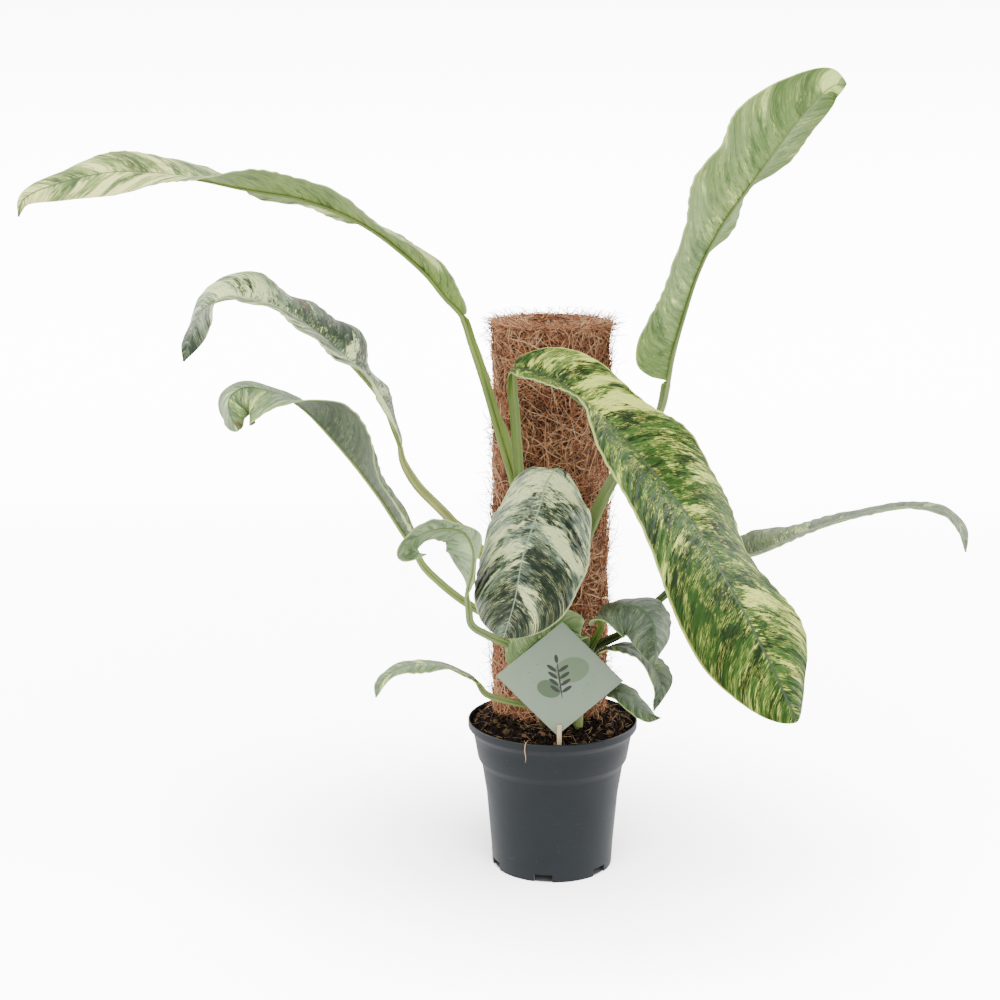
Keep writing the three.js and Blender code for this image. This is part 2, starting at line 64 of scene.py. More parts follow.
# %% [markdown]
# Most pieces start as a flat grid or a spun outline, and are then carried to their place
# point by point. An operator acts on all that is selected, so a helper first selects
# just the piece that a step is for.

# %% Helpers for grids and points


def only(*objects):
    """Selects just these objects and makes the first one active."""
    bpy.ops.object.select_all(action="DESELECT")
    for thing in objects:
        thing.select_set(True)
    bpy.context.view_layer.objects.active = objects[0]


def sheet(name, rows, columns):
    """A flat grid of rows x columns points, ready to be bent."""
    bpy.ops.object.select_all(action="DESELECT")
    bpy.ops.mesh.primitive_grid_add(x_subdivisions=columns - 1, y_subdivisions=rows - 1, size=1)
    made = bpy.context.object
    made.name = made.data.name = name
    assert len(made.data.vertices) == rows * columns
    return made


def place_points(made, points):
    """Moves every vertex of a piece, in order, to the given points."""
    made.data.vertices.foreach_set("co", np.ascontiguousarray(points, dtype=np.float32).ravel())
    made.data.update()


def points_of(made):
    """The piece's vertices as an array."""
    flat = np.zeros(len(made.data.vertices) * 3, dtype=np.float32)
    made.data.vertices.foreach_get("co", flat)
    return flat.reshape(-1, 3).astype(float)


def smooth(made, angle=50):
    """Shades a piece smooth, and keeps the edges that turn by more than the angle."""
    only(made)
    bpy.ops.object.shade_smooth_by_angle(angle=math.radians(angle))


print("helpers for grids and points are ready")

# %% [markdown]
# The backdrop is a sheet of pale paper that runs up behind the plant in one curve, so
# that no horizon shows. A plane with a bevelled fold would do, but the rows of a grid
# give an even curve: the far ones are lifted along a quarter circle.

# %% Backdrop
PAPER_WIDTH, PAPER_LENGTH, PAPER_FRONT = 9, 6.5, 3.2
FLOOR_DEPTH, CURVE_RADIUS = 1.3, 0.9
floor = sheet("backdrop", 80, 3)
ground = points_of(floor)
depth = (ground[:, 1] + 0.5) * PAPER_LENGTH - PAPER_FRONT
quarter = CURVE_RADIUS * math.pi / 2
bend = np.clip(depth - FLOOR_DEPTH, 0, quarter)
rise = np.clip(depth - FLOOR_DEPTH - quarter, 0, None)
ground[:, 0] *= PAPER_WIDTH
ground[:, 1] = np.minimum(depth, FLOOR_DEPTH) + CURVE_RADIUS * np.sin(bend / CURVE_RADIUS)
ground[:, 2] = CURVE_RADIUS * (1 - np.cos(bend / CURVE_RADIUS)) + rise
place_points(floor, ground)
smooth(floor)
print("backdrop rises to", round(float(ground[:, 2].max()), 2), "m")

# %% [markdown]
# The light is soft and comes from all round, as in a bright studio: a white world, a
# wide lamp above and in front on the left, a weak one in front on the right, and one on
# each side of the plant, which picks out the edges of the leaves.

# %% Lights
WORLD_STRENGTH = 1.7
LAMP_AIM = (0, 0, 0.3)
world = bpy.data.worlds.new("studio")
bpy.context.scene.world = world
world.use_nodes = True
sky = world.node_tree.nodes["Background"].inputs
sky["Color"].default_value = (1, 1, 1, 1)
sky["Strength"].default_value = WORLD_STRENGTH


def lamp(name, place, size, power):
    """A square area lamp that looks at the plant; size in metres, power in watts."""
    data = bpy.data.lights.new(name, "AREA")
    data.energy = power
    data.size = size
    made = bpy.data.objects.new(name, data)
    made.location = place
    direction = np.array(LAMP_AIM, float) - np.array(place, float)
    level = math.hypot(direction[0], direction[1])
    tilt = math.atan2(level, -direction[2])
    made.rotation_euler = (tilt, 0, math.atan2(-direction[0], direction[1]))
    bpy.context.scene.collection.objects.link(made)
    print("lamp", name, "at", place, "with", power, "W")


lamp("key", (-1.2, -1.6, 2.3), 1.6, 44)
lamp("fill", (1.8, -1.4, 1.2), 1.6, 10)
lamp("left_side", (-2.0, 0.5, 0.8), 1.8, 34)
lamp("right_side", (2.0, 0.5, 0.8), 1.8, 40)

# %% [markdown]
# Every finish is a node tree. One helper adds a node with its settings and inputs, and
# colours are written in the usual hexadecimal form. A mask is a value from 0 to 1 that
# says how much of a colour or a mark there is at a place.

# %% Helpers for finishes


def tint(code):
    """A colour such as 6f8f57 as the linear values that Blender wants."""
    parts = [int(code[i:i + 2], 16) / 255 for i in (0, 2, 4)]
    return tuple(p / 12.92 if p < 0.04045 else ((p + 0.055) / 1.055) ** 2.4 for p in parts) + (1,)


def add(tree, kind, inputs=None, **settings):
    """Adds a node; an input is a value or the output of another node."""
    made = tree.nodes.new(kind)
    for key, value in settings.items():
        setattr(made, key, value)
    for key, value in (inputs or {}).items():
        if isinstance(value, bpy.types.NodeSocket):
            tree.links.new(value, made.inputs[key])
        else:
            made.inputs[key].default_value = value
    return made


def math_node(tree, operation, a, b=0.0, c=0.0, clamp=False):
    """One step of arithmetic; returns its output."""
    made = add(tree, "ShaderNodeMath", {0: a, 1: b, 2: c}, operation=operation, use_clamp=clamp)
    return made.outputs[0]


def times(tree, a, b):
    """The product of two values."""
    return math_node(tree, "MULTIPLY", a, b)


def rest_of(tree, mask):
    """1 where a mask is 0, and 0 where it is 1."""
    return math_node(tree, "SUBTRACT", 1.0, mask)


def blend(tree, share, first, second, way="MIX"):
    """Mixes two colours by a share; returns its output."""
    made = add(tree, "ShaderNodeMix", {0: share, 6: first, 7: second},
               data_type="RGBA", blend_type=way)
    return made.outputs[2]


def step_up(tree, value, low, high):
    """0 below low, 1 above high, smooth between."""
    made = add(tree, "ShaderNodeMapRange", {0: value, 1: low, 2: high},
               interpolation_type="SMOOTHSTEP")
    return made.outputs[0]


def finish(name, roughness=0.5, **sockets):
    """A material with its Principled BSDF; returns both and the tree."""
    made = bpy.data.materials.new(name)
    made.use_nodes = True
    tree = made.node_tree
    shader = tree.nodes["Principled BSDF"]
    shader.inputs["Roughness"].default_value = roughness
    for key, value in sockets.items():
        shader.inputs[key.replace("_", " ")].default_value = value
    return made, tree, shader


print("helpers for finishes are ready")

# %% Helpers for patterns and relief


def object_place(tree):
    """The place of a point on its piece, in metres."""
    return add(tree, "ShaderNodeTexCoord").outputs["Object"]


def stretched(tree, vector, scale, seed=0.0):
    """A vector scaled along each axis, and moved by a seed."""
    made = add(tree, "ShaderNodeVectorMath", {0: vector, 1: scale}, operation="MULTIPLY")
    shift = add(tree, "ShaderNodeCombineXYZ", {2: seed})
    moved = add(tree, "ShaderNodeVectorMath", {0: made.outputs[0], 1: shift.outputs[0]},
                operation="ADD")
    return moved.outputs[0]


def noise(tree, vector, detail=3.0, roughness=0.5, distortion=0.0, scale=1.0):
    """A noise value about 0.5."""
    made = add(tree, "ShaderNodeTexNoise", {
        "Vector": vector, "Scale": scale, "Detail": detail, "Roughness": roughness,
        "Distortion": distortion})
    return made.outputs[0]


def bump(tree, shader, height, distance, strength=1.0):
    """Gives a shader its fine relief."""
    made = add(tree, "ShaderNodeBump", {"Height": height, "Distance": distance,
                                        "Strength": strength})
    tree.links.new(made.outputs[0], shader.inputs["Normal"])


print("helpers for patterns and relief are ready")

# %% [markdown]
# The paper is plain and pale. Round the pot a soft shadow is painted into its colour,
# where the pot keeps the light off, and right under the foot that painted shade is almost
# black, so that the notches of the foot show dark. It is hidden from soft and mirrored
# light, so it doesn't brighten the plant, and a broad lamp of its own, which lights
# nothing else, keeps it white.

# %% The backdrop's paper and its lamp
SHADE_FROM, SHADE_TO = 0.04, 0.42
FOOT_DARK_TO, FOOT_LIGHT_FROM = 0.0505, 0.0535
paper, tree, shader = finish("backdrop_paper", 0.9)
from_pot = add(tree, "ShaderNodeVectorMath", {0: object_place(tree)}, operation="LENGTH")
from_pot = from_pot.outputs["Value"]
# Painted shadow: the paper's colour darkens from f8f8f8 to c4c4c4 towards the pot.
shade = step_up(tree, from_pot, SHADE_FROM, SHADE_TO)
with_painted_shadow = blend(tree, shade, tint("c4c4c4"), tint("f8f8f8"))
# Painted shade: right under the pot's foot the paper is coloured almost black.
past_painted_foot_shade = step_up(tree, from_pot, FOOT_DARK_TO, FOOT_LIGHT_FROM)
tree.links.new(blend(tree, past_painted_foot_shade, tint("101010"), with_painted_shadow), shader.inputs["Base Color"])
floor.data.materials.append(paper)
floor.visible_diffuse = False
floor.visible_glossy = False

sun_data = bpy.data.lights.new("backdrop_lamp", "SUN")
sun_data.energy = 42
sun_data.angle = math.radians(80)
sun = bpy.data.objects.new("backdrop_lamp", sun_data)
sun.rotation_euler = (math.radians(38), 0, math.radians(12))
bpy.context.scene.collection.objects.link(sun)
only_backdrop = bpy.data.collections.new("lit_by_the_backdrop_lamp")
only_backdrop.objects.link(floor)
sun.light_linking.receiver_collection = only_backdrop
print("backdrop finished, and lit by", sun.name)

# %% [markdown]
# A leaf grows as one body: the petiole runs on as the midrib, and the blade hangs on it.
# A leaf could be pulled into shape from a plane, but thirteen leaves that fold and twist
# are easier to steer by a few numbers, and the solid leaves use the same ones. "stalk" is
# the route from the stem to the blade, and "rib" goes on to the tip. The two halves of
# the blade leave the midrib at a lift of their own, "left" and "right", listed from base
# to tip in degrees, and bend down by "arch" on the way to the edge.
#
# "across" points to the right half. "width" is the whole width, and "widest" the place
# from base to tip where it is reached. "base" and "tip" say how pointed the two ends are,
# and "lobe" how far the base reaches back. "waves" and "wave_height" ruffle the edge.
# "core" is the petiole's radius, and "sheath" the width of the wings along it, which stop
# at "sheath_end". "ease" is the length over which a bend is evened out, "vein_slope" how
# far the side veins lean, and "detail" the number of rows on the blade.

# %% The routes, folds and widths of the leaves, in millimetres and degrees
COMMON_LEAF = dict(
    across=(0, 1, 0), base=0.5, tip=0.95, lobe=3, arch=30, waves=4, wave_height=1.5,
    core=3, sheath=0, sheath_end=0, ease=4, vein_slope=0.1,
)
LEAVES = {
    "leaf_upper_left": dict(
        stalk=[(-13, -44, 272), (-24, -42, 315), (-35, -45, 361), (-47, -52, 404), (-58, -55, 443),
               (-68, -56, 474)],
        rib=[(-76, -54, 497), (-90, -52, 512), (-108, -49, 533), (-155, -41, 569),
             (-203, -34, 589), (-260, -26, 599), (-303, -20, 607), (-361, -24, 612),
             (-410, -30, 603), (-440, -34, 590), (-445, -35, 576)],
        width=87, widest=0.43, core=3.6, sheath=3.2, sheath_end=0.62, waves=5, wave_height=3,
        left=[45, 30, 15, 30, 20, 0, -30, -60, -90], right=[20, 15, 0, -15, -10, 10, 35, 35, 70],
        detail=150, vein_slope=0.5),
    "leaf_mid_left": dict(
        stalk=[(-7, -44, 236), (-30, -50, 262), (-53, -58, 287), (-91, -64, 332), (-115, -66, 358),
               (-125, -66, 377)],
        rib=[(-127, -66, 390), (-132, -67, 404), (-141, -67, 427), (-162, -65, 453),
             (-189, -60, 478), (-220, -56, 498), (-252, -53, 510), (-278, -50, 508),
             (-292, -51, 499), (-300, -54, 481), (-307, -58, 459)],
        width=84, widest=0.47, core=3.4, sheath=2.4, sheath_end=0.6, waves=6, wave_height=2.5,
        left=[10, 5, 10, 0, 5, 5, 0, -50, -105], right=[0, 5, 5, 25, 15, 20, 40, 20, 75],
        detail=130),
    "leaf_lower_left": dict(
        stalk=[(-2, -44, 206), (-20, -50, 218), (-40, -58, 233), (-78, -70, 260), (-98, -74, 278),
               (-109, -75, 290)],
        rib=[(-118, -76, 309), (-123, -75, 315), (-146, -75, 351), (-180, -70, 393),
             (-213, -65, 425), (-239, -64, 436), (-257, -67, 438), (-267, -75, 430),
             (-264, -84, 416), (-257, -87, 407)],
        width=82, widest=0.47, tip=0.5, core=2.7, waves=3,
        left=[40, 25, 25, 50, 50, 10, -40, -120, -160], right=[20, 15, 10, 20, 5, -5, -5, 20, 45],
        detail=110),
    "leaf_curled": dict(
        stalk=[(1, -44, 190), (-28, -56, 212), (-53, -78, 230), (-68, -92, 244), (-70, -99, 259)],
        rib=[(-70, -103, 276), (-66, -105, 293), (-65, -108, 312), (-73, -110, 327),
             (-88, -116, 332), (-106, -123, 329), (-119, -127, 320), (-120, -130, 312),
             (-110, -131, 311), (-102, -131, 314)],
        width=54, widest=0.41, core=2.6, waves=2, ease=6,
        left=[5, 5, 0, 30, 25, 30, 20, 10, -10],
        right=[-10, -50, -65, -50, -40, -30, -35, -45, -60], detail=90),
    "leaf_front": dict(
        stalk=[(-9, -44, 254), (-3, -60, 293), (1, -69, 330), (3, -74, 356), (4, -76, 368)],
        rib=[(3, -79, 374), (-6, -91, 365), (-12, -103, 346), (-19, -113, 327), (-25, -123, 309),
             (-31, -142, 278), (-39, -162, 254)],
        across=(-1, 0, 0.2), width=108, widest=0.51, tip=0.67, waves=3,
        left=[-5, -20, -15, -10, -10, -5, -5], right=[-30, -45, -50, -50, -50, -40, -30],
        detail=120),
    "leaf_big_right": dict(
        stalk=[(-16, -44, 284), (-20, -56, 304), (-24, -59, 330), (-28, -61, 362), (-32, -63, 420),
               (-34, -64, 441)],
        rib=[(-33, -68, 454), (-18, -77, 453), (2, -92, 447), (22, -112, 435), (45, -136, 419),
             (76, -171, 389), (109, -197, 350), (138, -216, 302), (163, -227, 256),
             (185, -233, 210)],
        across=(-0.4, -0.75, -0.45), width=113, widest=0.66, tip=0.6, lobe=0, core=3.6,
        wave_height=2.5,
        left=[45, 15, -5, 0, -5, -20, -5, 10, 0], right=[20, 40, 50, 35, 15, 0, -20, -40, -40],
        detail=160),
    "leaf_upper_right": dict(
        stalk=[(-6, -44, 236), (11, -55, 267), (31, -61, 317), (49, -60, 357), (72, -46, 388),
               (89, -34, 415)],
        rib=[(95, -25, 440), (98, -24, 459), (107, -18, 492), (120, -11, 531), (139, -3, 567),
             (174, 6, 616), (208, 12, 661), (230, 15, 682), (242, 18, 684)],
        across=(-0.9, -0.2, 0.3), width=112, widest=0.53, base=0.35, tip=0.67, lobe=1, core=3.6,
        sheath=5, sheath_end=0.8, wave_height=2,
        left=[85, 95, 85, 75, 65, 70, 55, 45, 30], right=[0, -30, -50, -45, -30, -25, 0, 10, 5],
        detail=140),
    "leaf_small_left": dict(
        stalk=[(2, -44, 157), (-28, -56, 164), (-46, -64, 171), (-58, -70, 178)],
        rib=[(-65, -72, 190), (-75, -74, 196), (-93, -78, 205), (-115, -84, 207),
             (-133, -92, 203), (-143, -98, 194), (-147, -102, 184)],
        width=43, widest=0.46, core=2.2, waves=2, wave_height=1,
        left=[5, 15, 5, -5, -5, -25], right=[-10, -10, -10, -5, 15, 55], detail=70),
    "leaf_sheath": dict(
        stalk=[(3, -44, 174), (-12, -58, 184)],
        rib=[(-30, -66, 199), (-22, -68, 214), (-5, -68, 229), (10, -68, 235), (20, -67, 231),
             (26, -65, 222), (28, -63, 212)],
        across=(0.6, 0, -0.7), width=44, widest=0.4, tip=1.3, lobe=0, core=1.6, waves=1,
        left=[-10, -10, 0, 10, 10], right=[10, 10, 10, 10, 10], wave_height=0.5, ease=8,
        detail=60),
    "leaf_far_right": dict(
        stalk=[(23, -40, 194), (37, -48, 213), (59, -54, 227), (86, -58, 254), (115, -58, 280)],
        rib=[(136, -55, 292), (171, -50, 297), (214, -42, 314), (257, -34, 326), (303, -30, 333),
             (331, -32, 330), (345, -36, 315), (348, -40, 297)],
        across=(0, -1, 0), width=64, widest=0.44, core=2.6, waves=3,
        left=[25, 30, 5, -5, 0, 5, 60], right=[5, 15, 10, 15, 10, -5, -45], detail=110),
    "leaf_small_right_top": dict(
        stalk=[(23, -40, 186), (29, -53, 206), (35, -62, 222), (41, -71, 238)],
        rib=[(40, -79, 249), (54, -84, 258), (70, -95, 261), (81, -106, 252), (84, -112, 235),
             (83, -115, 218)],
        across=(-0.4, -0.75, -0.3), width=56, widest=0.44, tip=0.7, lobe=12, core=2.4, waves=2,
        wave_height=1, ease=6,
        left=[15, -15, -15, -10, 0, -10], right=[20, -10, -40, -55, -55, -30], detail=80),
    "leaf_small_right_middle": dict(
        stalk=[(22, -40, 172), (31, -56, 192), (36, -61, 205)],
        rib=[(39, -63, 213), (53, -68, 220), (70, -78, 218), (83, -88, 208), (89, -96, 193),
             (84, -100, 174)],
        across=(-0.4, -0.75, -0.3), width=46, widest=0.5, tip=1.1, core=1.9, waves=2,
        wave_height=1, left=[-25, -25, -25, -15, 5, 30], right=[5, 25, 30, 30, 10, -25],
        detail=70),
    "leaf_small_right_bottom": dict(
        stalk=[(22, -40, 163), (32, -46, 167), (42, -52, 172)],
        rib=[(49, -57, 175), (61, -61, 176), (72, -68, 169), (82, -75, 163), (91, -80, 161)],
        across=(-0.4, -0.75, -0.3), width=34, widest=0.5, core=1.8, waves=1, wave_height=0.8,
        left=[30, -15, -30, -35, -45], right=[10, 10, 15, 5, -35], detail=60),
}
print("leaves described:", len(LEAVES))

# %% Routes: a smooth curve through the points, and even stations along it
PER_SPAN = 16


def smooth_list(values, u):
    """The value at u, from 0 to 1, of an evenly spaced list."""
    listed = np.asarray(values, float)
    last = len(listed) - 1
    x = np.clip(u * last, 0, last - 1e-6)
    i = np.floor(x).astype(int)
    t = x - i
    a, b, c, d = (listed[np.clip(i + k, 0, last)] for k in (-1, 0, 1, 2))
    cubic = (2 * a - 5 * b + 4 * c - d) * t**2 + (3 * b - a - 3 * c + d) * t**3
    return 0.5 * (2 * b + (c - a) * t + cubic)


def curve_through(points):
    """Points along a centripetal curve through the given ones, and their distances."""
    p = np.asarray(points, float)
    p = np.vstack([2 * p[0] - p[1], p, 2 * p[-1] - p[-2]])
    t = np.linspace(0, 1, PER_SPAN, endpoint=False)[:, None]
    spans = []
    for a, b, c, d in zip(p[:-3], p[1:-2], p[2:-1], p[3:]):
        d0, d1, d2 = (max(np.sum((m - n) ** 2), 1e-12) ** 0.25 for m, n in ((b, a), (c, b), (d, c)))
        leave = ((b - a) / d0 - (c - a) / (d0 + d1) + (c - b) / d1) * d1
        arrive = ((c - b) / d1 - (d - b) / (d1 + d2) + (d - c) / d2) * d1
        spans.append((2 * t**3 - 3 * t**2 + 1) * b + (t**3 - 2 * t**2 + t) * leave
                     + (3 * t**2 - 2 * t**3) * c + (t**3 - t**2) * arrive)
    samples = np.vstack(spans + [p[-2:-1]])
    reach = np.concatenate([[0], np.cumsum(np.linalg.norm(np.diff(samples, axis=0), axis=1))])
    return samples, reach


def at_length(samples, reach, length):
    """The points at the given distances along a curve."""
    return np.stack([np.interp(length, reach, samples[:, k]) for k in range(3)], -1)


def unit(vectors):
    """The same directions with length one."""
    return vectors / np.linalg.norm(vectors, axis=-1, keepdims=True)


print("points on each span of a route:", PER_SPAN)

# %% [markdown]
# The leaf's cross-sections stand along its route. On the petiole a section is a narrow
# channel: it is thickest at its foot, and may carry sheath wings. Near the petiole's end
# it opens out into the blade, which fills out quickly, tapers slowly to the tip, and has
# a midrib that thins on the way. Rows stand closer at the blade's two ends, where its
# outline turns fast.

# %% Stations of a leaf: where each cross-section sits and how it opens
CHANNEL_LIFT = 60
PETIOLE_MARGIN = 1.0
PETIOLE_FOOT, PETIOLE_TAPER = 1.2, 0.2
RIB_SHARE, RIB_TAPER, RIB_END = 0.85, 0.8, 0.35
FULLNESS_BEFORE, FULLNESS_AFTER = 2.4, 2
SHEATH_STARTS_OVER, SHEATH_STOPS_OVER = 0.15, 0.05
OPENS_FROM, OPENS_OVER = 0.85, 0.15


def stations(leaf):
    """Place, frame, half width and folds of every cross-section of a leaf."""
    samples, reach = curve_through(leaf["stalk"] + leaf["rib"])
    base = reach[PER_SPAN * len(leaf["stalk"])]
    rows = leaf["detail"]
    stalk_rows = max(int(rows * base / reach[-1]), 8)
    v = np.arange(stalk_rows) / stalk_rows
    even = np.linspace(0, 1, rows + 1)
    u = 0.5 * even + 0.25 * (1 - np.cos(math.pi * even))
    length = np.concatenate([base * v, base + (reach[-1] - base) * u])
    on_blade = np.concatenate([np.zeros(stalk_rows, bool), np.ones(rows + 1, bool)])
    v = np.concatenate([v, np.ones(rows + 1)])
    u = np.concatenate([np.zeros(stalk_rows), u])

    ahead = at_length(samples, reach, np.minimum(length + leaf["ease"], reach[-1]))
    along = unit(ahead - at_length(samples, reach, np.maximum(length - leaf["ease"], 0)))
    across = np.asarray(leaf["across"], float)
    side = unit(across - (along @ across)[:, None] * along)

    core = np.where(on_blade, leaf["core"] * RIB_SHARE * (1 - u) ** RIB_TAPER + RIB_END,
                    leaf["core"] * (PETIOLE_FOOT - PETIOLE_TAPER * v))
    before = np.clip(1 - u / leaf["widest"], 0, 1)
    after = np.clip((u - leaf["widest"]) / (1 - leaf["widest"]), 0, 1)
    share = ((1 - before**FULLNESS_BEFORE) ** leaf["base"]
             * (1 - after**FULLNESS_AFTER) ** leaf["tip"])
    share = np.where(on_blade, share, 0)
    wing = leaf["sheath"] * np.clip(np.minimum(
        v / SHEATH_STARTS_OVER, (leaf["sheath_end"] - v) / SHEATH_STOPS_OVER), 0, 1)
    slim = np.where(on_blade, PETIOLE_MARGIN, core + PETIOLE_MARGIN + wing)
    half = np.maximum(leaf["width"] / 2 * share, slim)
    opening = np.where(on_blade, 1, np.clip((v - OPENS_FROM) / OPENS_OVER, 0, 1))
    lifts = [np.radians(CHANNEL_LIFT + (smooth_list(leaf[k], u) - CHANNEL_LIFT) * opening)
             for k in ("left", "right")]
    return dict(place=at_length(samples, reach, length), along=along, side=side,
                up=np.cross(side, along), core=core, half=half, lifts=lifts, share=share, u=u,
                length=length - base, stalk_rows=stalk_rows, on_blade=on_blade)


tried = stations(COMMON_LEAF | LEAVES["leaf_front"])
print("leaf_front:", len(tried["u"]), "sections,", round(float(tried["length"][-1])), "mm of blade")

# %% [markdown]
# Across a section each half is an arc from the midrib to the edge. The edge rises and
# falls in a few long waves and in many small ripples. Over the midrib the sheet rises in
# a low ridge, so that it covers the tube below, and the points stand closer there.

# %% The surface of a leaf between its two edges
COLUMNS_PER_HALF = 13
TO_THE_MIDRIB = 1.15
LOBE_LENGTH = 0.25
SIDE_SHIFT = 1.1
RIPPLE_HEIGHT, RIPPLE_TURN = 0.5, 0.47
RIDGE_HEIGHT = 0.3


def leaf_surface(leaf, at):
    """Points of the blade's middle surface, row by row from left edge to right edge."""
    f = np.linspace(-1, 1, 2 * COLUMNS_PER_HALF + 1)
    f = np.sign(f) * np.abs(f) ** TO_THE_MIDRIB
    arch = math.radians(leaf["arch"])
    rows = []
    for share_out in f:
        sign = -1 if share_out < 0 else 1
        size = abs(share_out)
        start = at["lifts"][0 if sign < 0 else 1] + arch / 2
        angle = start - arch * size
        x = at["half"] / arch * (np.sin(start) - np.sin(angle))
        y = at["half"] / arch * (np.cos(angle) - np.cos(start))
        back = (leaf["lobe"] * np.clip(1 - at["u"] / LOBE_LENGTH, 0, 1) ** 2 * size**2
                * np.minimum(1, at["share"] * 4))
        phase = 2 * math.pi * leaf["waves"] * at["u"] + sign * SIDE_SHIFT
        wave = leaf["wave_height"] * at["share"] * size**2 * np.sin(phase)
        ripple = (RIPPLE_HEIGHT * at["share"] * size**4
                  * np.sin(at["length"] * RIPPLE_TURN + sign * 2 + 3 * np.sin(phase)))
        normal = -sign * np.sin(angle)[:, None] * at["side"] + np.cos(angle)[:, None] * at["up"]
        ridge = RIDGE_HEIGHT * at["core"] * np.exp(-((size * at["half"] / at["core"]) ** 2))
        rows.append(at["place"] + sign * x[:, None] * at["side"] + (y + ridge)[:, None] * at["up"]
                    - back[:, None] * at["along"] + (wave + ripple)[:, None] * normal)
    return np.stack(rows, 1), f


print("a leaf has", 2 * COLUMNS_PER_HALF + 1, "points across")

# %% [markdown]
# Patterns follow the leaf through two UV maps: "blade" runs from base to tip and from
# edge to edge, and "veins" holds centimetres, bent so that one line follows a side vein
# to the margin. A third layer holds soft marks that are placed one by one, because noise
# alone can't put the big patches where this plant has them.

# %% Layers that the patterns follow
TIP_SLOPE, EDGE_SLOPE = 0.8, 0.37
MARK_KINDS = "CDB"


def set_uv(made, name, values):
    """Writes a UV map with one value for each vertex."""
    layer = made.data.uv_layers.get(name) or made.data.uv_layers.new(name=name)
    corners = np.zeros(len(made.data.loops), dtype=np.int32)
    made.data.loops.foreach_get("vertex_index", corners)
    layer.data.foreach_set("uv", values[corners].astype(np.float32).ravel())


def set_marks(made, values):
    """Writes the painted marks: cream in red, dark in green, dry brown in blue."""
    layer = made.data.color_attributes.new("marks", "FLOAT_COLOR", "POINT")
    full = np.concatenate([values, np.ones((len(values), 1))], 1)
    layer.data.foreach_set("color", full.astype(np.float32).ravel())


def vein_coordinates(leaf, at, f):
    """Centimetres across the side veins and out from the midrib."""
    out = f[None, :] * at["half"][:, None]
    slope = (leaf["vein_slope"] + TIP_SLOPE * at["u"][:, None] ** 3
             + EDGE_SLOPE * f[None, :] ** 2)
    bent = slope * np.abs(out)
    return np.stack([(at["length"][:, None] - bent) / 10, out / 10], -1)


def painted(at, f, veins, marks):
    """How much cream, dark and dry brown the marks lay on each point of the surface."""
    total = np.zeros(veins.shape[:2] + (3,))
    blade_length = at["length"][-1] / 10
    for u, v, wide, long, kind, strength in marks:
        row = np.argmin(np.abs(at["length"] / 10 - u * blade_length))
        column = np.argmin(np.abs(f - v))
        gap = (veins - veins[row, column]) / np.array([wide / 10, long / 10])
        total[..., MARK_KINDS.index(kind)] += strength * np.exp(-np.sum(gap**2, -1))
    return np.clip(total, -1, 3)


print("kinds of mark:", len(MARK_KINDS))

# %% [markdown]
# The blade is a flat grid carried onto the surface, and Solidify gives it its thickness
# and its margin. The petiole and midrib could be a curve with a round profile. A second
# grid rolled into a tube is used instead, because it carries the same UV maps.

# %% Helpers for modifiers, edit mode and tubes
TUBE_SIDES = 10


def finish_modifiers(made):
    """Applies every modifier of a piece."""
    only(made)
    for modifier in list(made.modifiers):
        bpy.ops.object.modifier_apply(modifier=modifier.name)


def join(first, *others):
    """Joins pieces into the first one."""
    only(first, *others)
    bpy.ops.object.join()
    return first


def in_edit_mode(made, *steps):
    """Runs edit-mode steps on everything in a piece."""
    only(made)
    bpy.ops.object.mode_set(mode="EDIT")
    bpy.ops.mesh.select_all(action="SELECT")
    for step in steps:
        step()
    bpy.ops.object.mode_set(mode="OBJECT")


def tube(name, centres, across, over, radii, sides=TUBE_SIDES):
    """A grid rolled into a tube round a row of centres, closed at both ends."""
    made = sheet(name, len(centres), sides + 1)
    turn = np.linspace(2 * math.pi, 0, sides + 1)
    ring = (np.cos(turn)[None, :, None] * across[:, None]
            + np.sin(turn)[None, :, None] * over[:, None])
    points = centres[:, None] + radii[:, None, None] * ring
    place_points(made, points.reshape(-1, 3) * MM)
    step = np.linalg.norm(np.diff(centres, axis=0), axis=1)
    along = np.concatenate([[0], np.cumsum(step)]) / 10
    round_it = turn[None, :] * radii[:, None] / 10
    made.data.uv_layers[0].name = "blade"
    set_uv(made, "blade", np.zeros((points.shape[0] * points.shape[1], 2)))
    set_uv(made, "veins", np.stack([np.repeat(along, sides + 1), round_it.ravel()], -1))
    in_edit_mode(made, lambda: bpy.ops.mesh.remove_doubles(threshold=1e-6),
                 lambda: bpy.ops.mesh.fill_holes(sides=0))
    return made


print("a petiole has", TUBE_SIDES, "sides")

# %% Blade, midrib and the whole leaf
BLADE_THICKNESS = 0.9
STALK_SLOT = 3
RIB_SINK, RIB_RADIUS, THINNEST_RIB = (0.3, 0.35), (0.6, 0.65), 0.3


def blade_piece(name, leaf, at, looks, marks):
    """The blade and the margins of the petiole, as one thin sheet with its layers."""
    surface, f = leaf_surface(leaf, at)
    rows, columns = surface.shape[:2]
    blade = sheet(name, rows, columns)
    place_points(blade, surface.reshape(-1, 3) * MM)
    veins = vein_coordinates(leaf, at, f)
    flat = np.stack([np.repeat(at["u"], columns), np.tile(f * 0.5 + 0.5, rows)], -1)
    blade.data.uv_layers[0].name = "blade"
    set_uv(blade, "blade", flat)
    set_uv(blade, "veins", veins.reshape(-1, 2))
    set_marks(blade, painted(at, f, veins, marks).reshape(-1, 3))
    for material in looks:
        blade.data.materials.append(material)
    slots = np.zeros((rows - 1, columns - 1), dtype=np.int32)
    slots[:at["stalk_rows"] - 1] = STALK_SLOT
    blade.data.polygons.foreach_set("material_index", slots.ravel())
    solid = blade.modifiers.new("thickness", "SOLIDIFY")
    solid.thickness = BLADE_THICKNESS * MM
    solid.offset = 0
    solid.material_offset = 1
    solid.material_offset_rim = 2
    finish_modifiers(blade)
    return blade


